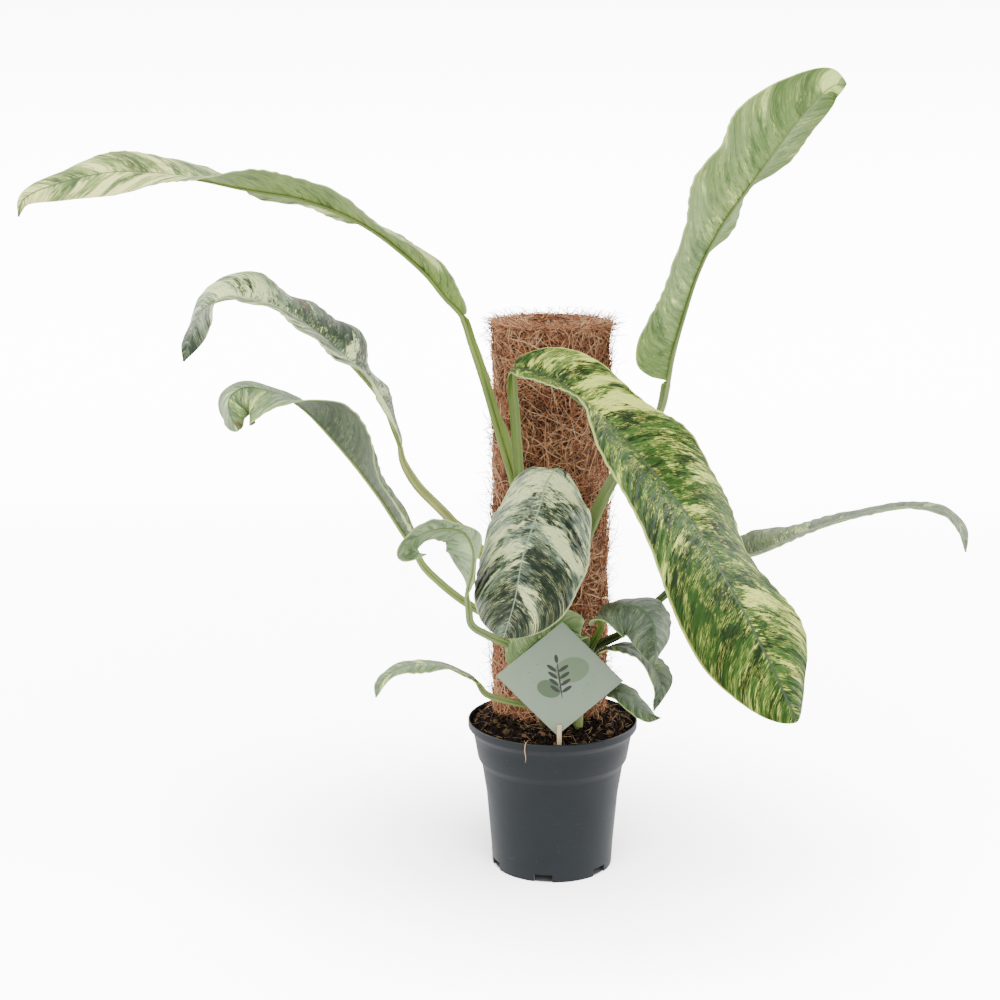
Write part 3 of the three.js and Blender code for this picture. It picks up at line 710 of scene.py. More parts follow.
def rib_piece(name, at):
    """The petiole and midrib: a tube sunk a little under the middle of the blade.

    Its sink and radius are shares of the core, first on the blade, then on the petiole.
    """
    left, right = at["lifts"]
    out_side = (np.sin(left) - np.sin(right))[:, None] * at["side"]
    out_up = (np.cos(left) + np.cos(right))[:, None] * at["up"]
    over = unit(out_side + out_up + 1e-6 * at["up"])
    sink = np.where(at["on_blade"], *RIB_SINK) * at["core"]
    radii = np.where(at["on_blade"], *RIB_RADIUS) * at["core"]
    return tube(name, at["place"] - sink[:, None] * over, unit(np.cross(at["along"], over)), over,
                np.maximum(radii, THINNEST_RIB))


def leaf_piece(name, leaf, looks, marks):
    """Builds a whole leaf: blade, sheath wings, petiole and midrib.

    Its finishes, the looks, are for the upper side, the under side, the margin and the stalk.
    """
    at = stations(leaf)
    blade = blade_piece(name + "_piece", leaf, at, looks, marks)
    rib = rib_piece(name + "_rib", at)
    rib.data.materials.append(looks[STALK_SLOT])
    made = join(blade, rib)
    smooth(made, 60)
    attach(made, "root")
    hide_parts(name)
    return made


print("a blade is", BLADE_THICKNESS, "mm thick")

# %% [markdown]
# The marbling is one node group. Noises that are stretched along the side veins decide
# where cream, dark and pale tissue lie: a broad one for blocks, a middle one for streaks
# and a fine one for flecks. The painted marks push each of them up or down, so the big
# patches sit where this plant has them, and the noise gives them ragged ends. Two broad
# pale marks are painted reflection, not cream tissue. A last, hair-fine noise draws light
# lines in the green and pale green ones in the cream.

# %% The marbling group
COLOURS = ("Deep", "Green", "Pale", "Cream", "Rib")
AMOUNTS = ("Cream level", "Dark level", "Pale level", "Rib width", "Softness", "Hair", "Seed")


def new_group(name, inputs, outputs):
    """An empty node group with its sockets; returns the tree and its two end nodes."""
    group = bpy.data.node_groups.new(name, "ShaderNodeTree")
    for label, kind in inputs:
        group.interface.new_socket(name=label, in_out="INPUT", socket_type="NodeSocket" + kind)
    for label, kind in outputs:
        group.interface.new_socket(name=label, in_out="OUTPUT", socket_type="NodeSocket" + kind)
    return group, group.nodes.new("NodeGroupInput"), group.nodes.new("NodeGroupOutput")


marbling, group_input, result = new_group(
    "leaf_marbling",
    [("Veins", "Vector"), ("Blade", "Vector"), ("Marks", "Color")]
    + [(label, "Color") for label in COLOURS] + [(label, "Float") for label in AMOUNTS],
    [("Color", "Color"), ("Height", "Float"), ("Cream", "Float")])
given = group_input.outputs
print("marbling takes", len(given) - 1, "inputs")

# %% Masks for cream, dark and pale tissue


def vein_noise(across, along, shift, detail, roughness, distortion=0.0):
    """A noise drawn out along the side veins."""
    vector = stretched(marbling, given["Veins"], (across, along, 1), shift)
    moved = add(marbling, "ShaderNodeCombineXYZ", {2: given["Seed"]})
    vector = add(marbling, "ShaderNodeVectorMath", {0: vector, 1: moved.outputs[0]},
                 operation="ADD").outputs[0]
    return noise(marbling, vector, detail, roughness, distortion)


def level(parts, threshold, softness):
    """Adds weighted noises and cuts them at a threshold."""
    total = 0.0
    for weight, value in parts:
        total = math_node(marbling, "MULTIPLY_ADD", value, weight, total)
    low = math_node(marbling, "SUBTRACT", threshold, softness)
    high = math_node(marbling, "ADD", threshold, softness)
    return step_up(marbling, total, low, high)


# The red channel holds the cream marks, and also two broad pale ones that are painted reflection on
# the upper parts of two leaves.
marks = add(marbling, "ShaderNodeSeparateColor", {0: given["Marks"]})
cream_and_painted_reflection_mark, dark_mark, dry_mark = marks.outputs
fleck = vein_noise(11, 1.6, 0.0, 4, 0.7)
cream_block = vein_noise(0.9, 0.42, 3.1, 2, 0.5)
cream_streak = vein_noise(2.8, 0.7, 11.7, 5, 0.65, 0.5)
cream_and_painted_reflection_mask = level([(0.3, cream_block), (0.4, cream_streak), (0.3, fleck),
                    (0.13, cream_and_painted_reflection_mark), (-0.08, dark_mark)],
                   given["Cream level"], given["Softness"])
dark_block = vein_noise(0.7, 0.34, 23.3, 2, 0.5)
dark_streak = vein_noise(2.2, 0.6, 31.9, 5, 0.65, 0.5)
dark_fleck = vein_noise(9, 1.4, 41.3, 3, 0.6)
dark_mask = level([(0.3, dark_block), (0.4, dark_streak), (0.3, dark_fleck), (0.12, dark_mark)],
                  given["Dark level"], given["Softness"])
pale_block = vein_noise(1.1, 0.4, 53.7, 3, 0.5)
pale_streak = vein_noise(5, 0.9, 61.1, 4, 0.65)
pale_mask = level([(0.4, pale_block), (0.6, pale_streak), (0.2, cream_and_painted_reflection_mark), (-0.2, dark_mark)],
                  given["Pale level"], times(marbling, given["Softness"], 2.0))
print("masks made of", sum(n.type == "TEX_NOISE" for n in marbling.nodes), "noises")

# %% Hair-fine lines, and the colours laid over one another
hair = vein_noise(26, 1.5, 71.9, 3, 0.6)
cluster = vein_noise(1.6, 0.9, 83.3, 3, 0.6)
light_hair = times(marbling, step_up(marbling, hair, 0.52, 0.62),
                   step_up(marbling, cluster, 0.42, 0.62))
light_hair = times(marbling, light_hair, given["Hair"])
dark_hair = rest_of(marbling, step_up(marbling, hair, 0.36, 0.47))
dark_hair = times(marbling, dark_hair, 0.75)
colour = blend(marbling, pale_mask, given["Green"], given["Pale"])
colour = blend(marbling, dark_mask, colour, given["Deep"])
colour = blend(marbling, light_hair, colour, given["Cream"])
cream_colour = blend(marbling, dark_hair, given["Cream"], given["Pale"])
colour = blend(marbling, cream_and_painted_reflection_mask, colour, cream_colour)
print("marbling has", len(marbling.nodes), "nodes so far")

# %% Rib, margin and dry spots in the same group
vein_place = add(marbling, "ShaderNodeSeparateXYZ", {0: given["Veins"]}).outputs
blade_place = add(marbling, "ShaderNodeSeparateXYZ", {0: given["Blade"]}).outputs
from_rib = math_node(marbling, "ABSOLUTE", vein_place[1])
towards_tip = math_node(marbling, "MULTIPLY_ADD", blade_place[0], -0.6, 1.0)
rib_edge = times(marbling, given["Rib width"], towards_tip)
rib_mask = rest_of(marbling, step_up(marbling, from_rib, times(marbling, rib_edge, 0.6),
                                     times(marbling, rib_edge, 1.4)))
colour = blend(marbling, times(marbling, rib_mask, 0.85), colour, given["Rib"])
to_edge = math_node(marbling, "SUBTRACT", blade_place[1], 0.5)
to_edge = times(marbling, math_node(marbling, "ABSOLUTE", to_edge), 2.0)
margin_mask = times(marbling, step_up(marbling, to_edge, 0.955, 0.99), 0.6)
colour = blend(marbling, margin_mask, colour, given["Cream"])
dry = math_node(marbling, "MULTIPLY_ADD", fleck, 0.7, dry_mark)
dry = times(marbling, step_up(marbling, dry, 0.62, 0.9), 0.85)
colour = blend(marbling, dry, colour, tint("66492c"))
shade = math_node(marbling, "MULTIPLY_ADD", fleck, 0.3, 0.85)
shade = add(marbling, "ShaderNodeCombineColor", {0: shade, 1: shade, 2: shade}).outputs[0]
colour = blend(marbling, 1.0, colour, shade, "MULTIPLY")
print("marbling has", len(marbling.nodes), "nodes so far")

# %% Relief: the blade swells between its side veins, and the midrib is drawn in
QUILTS_PER_CM = 8.4
quilt = math_node(marbling, "COSINE", times(marbling, vein_place[0], QUILTS_PER_CM))
quilt = times(marbling, quilt, rest_of(marbling, rib_mask))
relief = math_node(marbling, "MULTIPLY_ADD", quilt, 0.5, times(marbling, fleck, 0.35))
relief = math_node(marbling, "SUBTRACT", relief, times(marbling, rib_mask, 0.8))
marbling.links.new(colour, result.inputs["Color"])
marbling.links.new(relief, result.inputs["Height"])
marbling.links.new(cream_and_painted_reflection_mask, result.inputs["Cream"])
print("marbling group:", len(marbling.nodes), "nodes")

# %% [markdown]
# Each side of a leaf gets its own finish from the group, with its own colours and levels.
# Cream tissue is a little duller than green. A petiole or stem is simpler: fine lines
# run along it between a dark and a light green.

# %% A leaf's finishes, from its own colours


def leaf_finish(name, look, roughness):
    """The finish of one side of a leaf."""
    made, tree, shader = finish(name, roughness, Specular_IOR_Level=look["sheen"])
    group = add(tree, "ShaderNodeGroup", node_tree=marbling)
    for key, layer in (("Veins", "veins"), ("Blade", "blade")):
        tree.links.new(add(tree, "ShaderNodeUVMap", uv_map=layer).outputs[0], group.inputs[key])
    painted_marks = add(tree, "ShaderNodeAttribute", attribute_name="marks")
    tree.links.new(painted_marks.outputs[0], group.inputs["Marks"])
    for key in COLOURS:
        group.inputs[key].default_value = tint(look[key.lower()])
    for key in AMOUNTS:
        group.inputs[key].default_value = look[key.lower().replace(" ", "_")]
    tree.links.new(group.outputs["Color"], shader.inputs["Base Color"])
    gloss = math_node(tree, "MULTIPLY_ADD", group.outputs["Cream"], 0.08, roughness)
    tree.links.new(gloss, shader.inputs["Roughness"])
    bump(tree, shader, group.outputs["Height"], 0.0012, 0.4)
    return made


def stalk_finish(name, light, dark):
    """A petiole or stem: fine lines along it, with lighter patches."""
    made, tree, shader = finish(name, 0.42)
    veins = add(tree, "ShaderNodeUVMap", uv_map="veins").outputs[0]
    lines = noise(tree, stretched(tree, veins, (0.35, 9, 1), 2), 3, 0.6)
    patches = noise(tree, object_place(tree), 2, 0.5, scale=30)
    share = math_node(tree, "MULTIPLY_ADD", lines, 1.2, -0.5)
    share = math_node(tree, "MULTIPLY_ADD", patches, 0.8, share, clamp=True)
    tree.links.new(blend(tree, share, tint(dark), tint(light)), shader.inputs["Base Color"])
    bump(tree, shader, lines, 0.0004, 0.4)
    return made


UPPER = dict(deep="2b3f29", green="466233", pale="6b8a55", cream="d2e782", rib="475d40",
             cream_level=0.56, dark_level=0.55, pale_level=0.52, rib_width=0.14,
             softness=0.025, hair=0.6, sheen=0.3, seed=0)
UNDER = dict(deep="495a40", green="617651", pale="7a9062", cream="b1c87d", rib="51673f",
             cream_level=0.62, dark_level=0.58, pale_level=0.5, rib_width=0.05,
             softness=0.06, hair=0.25, sheen=0.3, seed=0)
margin_edge = finish("leaf_margin", 0.5, Base_Color=tint("97b262"))[0]
print("leaf colours start from", len(UPPER), "values")

# %% [markdown]
# Every leaf changes a few of those values: first for its upper side, then for its under
# side, and last come the light and the dark green of its petiole. The higher a level is,
# the less of that tissue shows, "sheen" is the strength of its highlights, and each side
# has a seed of its own.

# %% The colours of each leaf
LOOKS = {
    "leaf_upper_left": (
        dict(green="66803f", deep="40572b", pale="a2b868", cream="f6f79c", seed=4.0,
             cream_level=0.535, dark_level=0.54, softness=0.035),
        dict(green="6b8740", deep="435c2c", pale="8ba356", cream="e9efa0", seed=5.0,
             dark_level=0.55),
        "8ba04a", "566630"),
    "leaf_mid_left": (
        dict(green="5b6d53", deep="2c3a2a", pale="93a77f", cream="e4efaa", seed=7.0,
             cream_level=0.53, dark_level=0.535),
        dict(green="6a7c5e", deep="404f3d", pale="98ae84", cream="f0f6bd", seed=8.0,
             cream_level=0.55, dark_level=0.56, softness=0.035),
        "c9cf80", "666e44"),
    "leaf_lower_left": (
        dict(green="667b56", deep="45533d", pale="809565", cream="cce782", seed=10.0),
        dict(green="4b5740", deep="3c4833", pale="57664b", cream="ccd69c", seed=11.0,
             cream_level=0.66),
        "a3b864", "6e7c46"),
    "leaf_curled": (
        dict(green="6f8360", deep="4b5a44", pale="91a77b", cream="d2e7a2", seed=13.0),
        dict(green="6f8360", deep="4b5a44", pale="aec495", cream="d0e7ac", seed=14.0),
        "93a868", "74854e"),
    "leaf_front": (
        dict(green="435346", deep="162414", pale="7c8f76", cream="d6dea0", rib="8ca076",
             seed=40.0, cream_level=0.56, dark_level=0.525, pale_level=0.52, rib_width=0.08,
             hair=0.65),
        dict(seed=2.0),
        "6b8438", "4f6826"),
    "leaf_big_right": (
        dict(green="274612", deep="142807", pale="426127", cream="cdd867", rib="42523c",
             seed=16.0, cream_level=0.568, dark_level=0.52, rib_width=0.22, hair=0.85,
             sheen=0.12),
        dict(seed=17.0),
        "74893c", "53662a"),
    "leaf_upper_right": (
        dict(seed=19.0),
        dict(green="617c3c", deep="47632d", pale="7f9655", cream="d2e780", seed=20.0,
             cream_level=0.6, dark_level=0.55),
        "7c8f50", "56682e"),
    "leaf_small_left": (
        dict(green="5d704c", deep="45543a", seed=22.0),
        dict(seed=23.0),
        "849452", "59642f"),
    "leaf_sheath": (
        dict(green="789058", deep="61784a", pale="8ea46c", cream="b4ca86", seed=25.0),
        dict(green="789058", deep="61784a", pale="8ea46c", cream="b4ca86", seed=26.0),
        "7d9238", "5e722e"),
    "leaf_far_right": (
        dict(green="525e44", deep="394431", pale="627350", cream="aebf72", seed=28.0),
        dict(green="5a674c", deep="434f3a", pale="6a7b57", cream="aebf72", seed=29.0),
        "465b27", "33471c"),
    "leaf_small_right_top": (
        dict(green="44503e", deep="344031", pale="59694d", cream="96aa6c", seed=31.0,
             cream_level=0.62),
        dict(seed=32.0),
        "6f8734", "4d6325"),
    "leaf_small_right_middle": (
        dict(green="364230", deep="283424", pale="48573d", cream="8ea34f", seed=34.0,
             cream_level=0.6, sheen=0.12),
        dict(green="4d5e40", deep="3a4832", pale="61734e", cream="8ea064", seed=35.0),
        "6f8734", "4d6325"),
    "leaf_small_right_bottom": (
        dict(green="42523a", deep="33412d", pale="526344", cream="96aa6c", seed=37.0,
             cream_level=0.62, sheen=0.15),
        dict(seed=38.0),
        "6f8734", "4d6325"),
}
print("leaves coloured:", len(LOOKS))

# %% [markdown]
# A mark is a soft spot: its place from base to tip (0 to 1), its place from the left edge
# to the right (-1 to 1), its size across and along the side veins in millimetres, its
# kind, and its strength. C adds cream, D dark green and B the brown of a dry spot, and a
# strength below zero takes away.

# %% The marks of each leaf
MARKS = {
    "leaf_big_right": [
        # Painted reflection: the second mark here, a long pale wash over the base of the blade,
        # stands for the sheen of the white surroundings.
        (0.22, -0.3, 26, 40, "C", 0.32), (0.05, -0.3, 14, 50, "C", 0.3),
        (0.5, -0.2, 18, 26, "C", -0.35), (0.12, -0.8, 9, 22, "C", 0.5),
        (0.17, -0.66, 7, 20, "C", 0.7), (0.2, -0.83, 5, 8, "D", 0.6),
        (0.23, -0.4, 6, 18, "C", 0.8), (0.25, -0.83, 5, 10, "C", 0.5),
        (0.28, -1, 9, 22, "C", 0.8), (0.29, -0.5, 6, 12, "D", 0.8), (0.13, -0.4, 6, 12, "D", 0.5),
        (0.4, -0.9, 8, 14, "D", 0.5), (0.47, -0.74, 14, 20, "C", 0.45),
        (0.52, -0.2, 14, 18, "C", 0.3), (0.56, -0.12, 10, 16, "C", 0.35),
        (0.6, 0.33, 5, 14, "D", 0.6), (0.77, -0.57, 9, 22, "C", 0.9),
        (0.76, -0.05, 6, 14, "C", 0.5), (0.83, -0.57, 8, 10, "C", 0.4),
        (0.6, 0.57, 6, 16, "C", 1), (0.63, 0.9, 6, 14, "C", 0.8), (0.41, 0.74, 8, 14, "C", 0.35),
        (0.49, 0.57, 10, 16, "C", 0.3), (0.69, 0.74, 24, 26, "C", -1),
        (0.48, 0.7, 14, 18, "C", -0.8), (0.36, 0.6, 10, 14, "C", -0.5),
        (0.7, -0.4, 8, 14, "D", 0.4), (0.78, 0.57, 20, 24, "C", -0.9),
        (0.89, 0.33, 12, 16, "C", 0.25), (0.89, -0.4, 10, 10, "C", 0.35)],
    "leaf_front": [
        # Painted reflection: the first mark here, a broad pale wash over the upper part of the
        # blade, stands for the sheen of the white surroundings.
        (0.2, 0, 34, 50, "C", 0.4), (0.8, 0, 40, 50, "D", 0.6), (0.07, -0.33, 7, 12, "C", 1.2),
        (0.1, -0.57, 6, 10, "C", 1), (0.09, 0.4, 6, 10, "C", 0.7), (0.17, 0.66, 5, 14, "C", 0.6),
        (0.32, 0.19, 12, 16, "D", 0.4), (0.25, -0.33, 10, 16, "D", 0.5),
        (0.41, 0.5, 5, 16, "C", 0.5), (0.4, -0.5, 6, 18, "C", 0.9),
        (0.46, -0.66, 5, 10, "C", 0.8), (0.51, 0.4, 5, 16, "C", 0.6),
        (0.53, 0.05, 5, 12, "C", 0.6), (0.59, -0.33, 12, 12, "D", 0.9),
        (0.65, -0.74, 12, 12, "D", 0.7), (0.49, -0.83, 6, 6, "C", 0.4),
        (0.66, 0.57, 5, 14, "C", 0.5), (0.78, 0.33, 8, 14, "D", 0.9),
        (0.86, 0.19, 6, 12, "D", 0.8), (0.72, -0.12, 5, 10, "C", 0.7),
        (0.79, -0.33, 5, 10, "C", 0.8), (0.88, -0.26, 4, 10, "D", 0.9),
        (0.86, -0.57, 4, 10, "C", 0.8), (0.77, -0.66, 8, 10, "D", 0.6),
        (0.92, 0.4, 6, 10, "D", 0.4)],
    "leaf_upper_left": [
        (0.94, -0.57, 8, 14, "C", 0.6), (0.83, -1, 6, 16, "C", 1), (0.78, -1, 8, 20, "C", 1.2),
        (0.72, -1, 6, 16, "C", 0.9), (0.88, 0.83, 5, 16, "D", 0.6), (0.81, 0.41, 6, 18, "C", 0.6),
        (0.75, 0.41, 7, 16, "D", 0.7), (0.71, 0.66, 5, 16, "C", 0.5),
        (0.85, -0.05, 4, 14, "D", 0.6), (0.68, -0.26, 5, 14, "C", 0.5),
        (0.39, 0.95, 10, 12, "C", 2.2), (0.34, 1, 6, 8, "C", 1.6), (0.15, -1, 9, 9, "C", 2.4),
        (0.12, -0.7, 8, 8, "C", 2)],
    "leaf_mid_left": [
        (0.42, 0.3, 30, 40, "D", 0.5), (0.7, 0, 24, 40, "C", 0.3), (0.93, 0, 22, 40, "C", -0.6),
        (0.93, 0, 22, 40, "D", 0.7), (0.76, 0.33, 6, 14, "C", 0.7), (0.7, 0.41, 5, 14, "D", 0.5),
        (0.66, 0.41, 4, 14, "C", 0.7), (0.53, 0.33, 6, 10, "D", 0.9), (0.54, 0.66, 3, 4, "B", 1),
        (0.52, 0.57, 3, 3, "B", 0.8), (0.42, 0.57, 10, 14, "D", 0.9),
        (0.37, 0.57, 8, 10, "D", 0.9), (0.32, 0.74, 5, 8, "D", 1), (0.34, 0.49, 6, 12, "C", 0.8),
        (0.28, 0.33, 4, 6, "D", 1), (0.24, 0.57, 5, 8, "C", 0.8), (0.17, -0.6, 13, 10, "C", 3),
        (0.1, -0.6, 13, 10, "C", 3), (0.04, -1, 10, 8, "C", 3), (0.84, -0.66, 12, 12, "D", 0.5),
        (0.94, -0.26, 8, 8, "D", 0.4)],
    "leaf_lower_left": [
        (0.51, -0.66, 10, 14, "D", 0.5), (0.5, -0.19, 8, 10, "D", 0.5),
        (0.38, -0.49, 12, 14, "D", 0.4), (0.22, -1, 10, 8, "C", 2.4),
        (0.15, -1, 12, 12, "C", 3.4), (0.07, -1, 12, 12, "C", 3.4), (0.14, -0.74, 3, 3, "B", 0.5),
        (0.09, -1, 3, 3, "B", 0.6), (0.19, -0.9, 2, 3, "B", 0.5), (0.99, -0.49, 4, 4, "B", 0.9),
        (0.92, -0.41, 4, 16, "C", 0.7), (0.79, -0.57, 4, 16, "C", 0.6),
        (0.66, -0.41, 4, 12, "D", 0.5)],
    "leaf_upper_right": [
        (0.96, 0.26, 6, 10, "C", 1.6), (0.98, 1, 6, 10, "C", 1.6), (0.98, -0.6, 6, 10, "C", 1.6),
        (0.9, 0.55, 5, 12, "C", 0.6), (0.92, 0.75, 6, 14, "D", 0.8),
        (0.83, 0.66, 6, 16, "D", 0.8), (0.83, 0.91, 4, 14, "C", 0.8),
        (0.85, 0.12, 5, 12, "D", 0.4), (0.71, 0.66, 5, 14, "C", 0.6),
        (0.58, 0.74, 4, 14, "C", 0.6), (0.55, 0.12, 8, 8, "C", 0.9), (0.5, 0.66, 5, 5, "C", 0.9),
        (0.53, 0.91, 4, 8, "C", 0.7), (0.47, 0.12, 3, 8, "C", 0.8), (0.36, 0.33, 6, 18, "D", 0.5),
        (0.27, 0.26, 3, 10, "C", 0.8), (0.21, 0.41, 3, 12, "C", 0.9),
        (0.13, 0.66, 6, 14, "D", 0.4), (0.69, 0.26, 8, 16, "D", 0.4)],
    "leaf_curled": [
        (0.28, 0.12, 12, 12, "C", 1), (0.23, -1, 10, 10, "C", 0.9), (0.36, -1, 8, 10, "C", 0.7),
        (0.82, 0.05, 4, 10, "C", 0.8), (0.91, 0.12, 3, 8, "D", 0.8), (0.81, -1, 3, 8, "D", 0.6),
        (0.57, -0.41, 4, 12, "D", 0.4)],
    "leaf_small_right_top": [
        (0.03, -0.57, 4, 14, "C", 0.5), (0.34, 0.66, 10, 12, "D", 0.4),
        (0.88, 0.33, 4, 6, "D", 0.5)],
    "leaf_small_right_middle": [
        (0.59, -0.12, 5, 12, "C", 0.5), (0.48, 0.57, 5, 8, "C", 0.3),
        (0.81, 0.33, 6, 8, "D", 0.4)],
    "leaf_small_right_bottom": [
        (0.25, -0.33, 4, 6, "C", 0.5), (0.59, 0, 4, 8, "D", 0.4)],
    "leaf_far_right": [
        (0.32, -0.19, 8, 14, "C", 0.5), (0.48, -0.33, 6, 10, "D", 0.5),
        (0.65, 1, 6, 10, "C", 0.4)],
    "leaf_small_left": [
        (0.54, -0.66, 4, 8, "C", 0.4), (0.82, -1, 4, 8, "D", 0.4)],
}
print("marks placed:", sum(len(listed) for listed in MARKS.values()))

# %% Grow the leaves
UPPER_ROUGHNESS, UNDER_ROUGHNESS = 0.38, 0.5
for leaf_name, shape in LEAVES.items():
    upper, under, stalk_light, stalk_dark = LOOKS[leaf_name]
    slots_of_leaf = [
        leaf_finish(leaf_name + "_upper", UPPER | upper, UPPER_ROUGHNESS),
        leaf_finish(leaf_name + "_under", UNDER | under, UNDER_ROUGHNESS),
        margin_edge,
        stalk_finish(leaf_name + "_stalk", stalk_light, stalk_dark),
    ]
    grown = leaf_piece(leaf_name, COMMON_LEAF | shape, slots_of_leaf, MARKS.get(leaf_name, []))
    print(leaf_name, len(grown.data.polygons), "faces")

# %% [markdown]
# The two climbing stems stand in front of the pole. A curve with a round profile would
# do, but the leaves' own tube can also swell a little at the heights of its knots, where
# the petioles leave it.

# %% Stems
STEM_MAIN = [(3, -44, 112), (3, -44, 160), (-2, -44, 205), (-7, -44, 240), (-13, -44, 270),
             (-20, -44, 298)]
STEM_SIDE = [(21, -40, 112), (22, -40, 150), (23, -40, 197)]
STEM_ROWS, STEM_SIDES = 90, 20
BETWEEN_KNOTS, KNOT_SWELL, KNOT_REACH = 0.92, 0.14, 5
END_ROUNDING, END_RADIUS = 4, 0.2
stem_green = stalk_finish("stem_green", "7c8a45", "566530")


def stem_piece(name, points, radius, knots):
    """A stem along its route, thicker at the heights of its knots."""
    samples, reach = curve_through(points)
    centres = at_length(samples, reach, np.linspace(0, reach[-1], STEM_ROWS))
    along = unit(np.gradient(centres, axis=0))
    side = unit(np.cross(along, (0.0, 1.0, 0.0)))
    swell = sum(np.exp(-((centres[:, 2] - knot) / KNOT_REACH) ** 2) for knot in knots)
    top = np.clip((centres[-1, 2] - centres[:, 2]) / END_ROUNDING, 0, 1) ** 0.5
    radii = radius * (BETWEEN_KNOTS + KNOT_SWELL * swell) * np.maximum(top, END_RADIUS)
    made = tube(name + "_piece", centres, side, np.cross(side, along), radii, STEM_SIDES)
    made.data.materials.append(stem_green)
    smooth(made, 60)
    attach(made, "root")
    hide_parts(name)
    print(name, len(made.data.polygons), "faces")


stem_piece("stem_main", STEM_MAIN, 5.5, [157, 174, 190, 206, 236, 254, 272, 284])
stem_piece("stem_side", STEM_SIDE, 5, [163, 172, 186])

# %% [markdown]
# The pot is a thin moulded shell with a banded rim. It stands on a foot ring with six
# notches, and its raised floor has drain holes. The Screw modifier could turn it. Here
# its outline is spun in edit mode, as on a lathe, and small solids are cut away from it.

# %% Helpers for turned pieces and cuts


def spun(name, outline, steps):
    """An outline of (radius, height) spun once round the Z axis."""
    bpy.ops.object.select_all(action="DESELECT")
    bpy.ops.mesh.primitive_circle_add(vertices=len(outline), fill_type="NOTHING")
    made = bpy.context.object
    made.name = made.data.name = name
    place_points(made, [(r * MM, 0, z * MM) for r, z in outline])
    closing = [e.index for e in made.data.edges if set(e.vertices) == {0, len(outline) - 1}]
    only(made)
    bpy.ops.object.mode_set(mode="EDIT")
    bpy.ops.mesh.select_all(action="DESELECT")
    bpy.ops.object.mode_set(mode="OBJECT")
    for index in closing:
        made.data.edges[index].select = True
    bpy.ops.object.mode_set(mode="EDIT")
    bpy.ops.mesh.delete(type="EDGE_FACE")
    bpy.ops.mesh.select_all(action="SELECT")
    bpy.ops.mesh.spin(steps=steps, angle=2 * math.pi, center=(0, 0, 0), axis=(0, 0, 1))
    bpy.ops.mesh.select_all(action="SELECT")
    bpy.ops.mesh.remove_doubles(threshold=2e-5)
    bpy.ops.mesh.normals_make_consistent(inside=False)
    bpy.ops.object.mode_set(mode="OBJECT")
    return made


def cut(made, cutters):
    """Cuts a row of solids out of a piece."""
    cutter = join(*cutters) if len(cutters) > 1 else cutters[0]
    bite = made.modifiers.new("cut", "BOOLEAN")
    bite.operation = "DIFFERENCE"
    bite.object = cutter
    finish_modifiers(made)
    bpy.data.objects.remove(cutter)


def block(size, place, turn=0.0):
    """A box of a size in millimetres at a place, turned about Z."""
    bpy.ops.object.select_all(action="DESELECT")
    bpy.ops.mesh.primitive_cube_add(size=1)
    made = bpy.context.object
    x, y, z = (points_of(made) * np.array(size) + np.array(place)).T
    c, s = math.cos(turn), math.sin(turn)
    place_points(made, np.stack([x * c - y * s, x * s + y * c, z], -1) * MM)
    return made


print("helpers for turned pieces and cuts are ready")

# %% Pot
POT_OUTLINE = [
    (0.01, 9.5), (50, 9.5), (52, 11.5), (53.2, 21), (57.1, 66), (61.4, 93.2), (64.7, 98.8),
    (67.8, 116), (69.1, 122.3), (73.2, 127.6), (73.5, 129), (73.5, 133.2), (73.9, 133.8),
    (74.5, 133.8), (75, 133.2), (75, 128.2), (74.6, 127.2), (71.2, 123.2), (70.5, 122),
    (69.3, 116), (66.5, 100), (65.9, 98.6), (63.4, 94.4), (62.8, 92.6), (58.6, 66), (54.7, 21),
    (53.5, 0.5), (53.1, 0), (52.4, 0), (52, 0.5), (52, 8), (14, 8), (14, 0.4), (13.6, 0),
    (0.01, 0),
]
NOTCHES, FIRST_NOTCH, NOTCH_RADIUS, NOTCH_SIZE = 6, -98, 53.5, (10, 16, 14)
DRAINS, DRAIN_CIRCLE, DRAIN_RADIUS, DRAIN_DEPTH, DRAIN_HEIGHT = 8, 40, 4, 6, 9

pot = spun("pot_piece", POT_OUTLINE, 96)
notch_turns = [math.radians(FIRST_NOTCH + 360 / NOTCHES * i) for i in range(NOTCHES)]
cut(pot, [block(NOTCH_SIZE, (NOTCH_RADIUS, 0, 0), turn) for turn in notch_turns])
drains = []
for i in range(DRAINS):
    bpy.ops.object.select_all(action="DESELECT")
    angle = (i + 0.5) * 2 * math.pi / DRAINS
    bpy.ops.mesh.primitive_cylinder_add(
        vertices=20, radius=DRAIN_RADIUS * MM, depth=DRAIN_DEPTH * MM,
        location=(DRAIN_CIRCLE * MM * math.cos(angle), DRAIN_CIRCLE * MM * math.sin(angle),
                  DRAIN_HEIGHT * MM))
    bpy.ops.object.transform_apply()
    drains.append(bpy.context.object)
cut(pot, drains)
smooth(pot, 35)
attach(pot, "root")
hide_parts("pot")
print("pot:", len(pot.data.polygons), "faces")

# %% [markdown]
# The pot is black plastic with a dull gloss, a little dusty and scuffed. One noise clouds
# its colour and gloss, one that is squeezed in height gives the faint rings of the mould,
# and two are cut near their tops, so that only specks of dust and short scuffs are left.

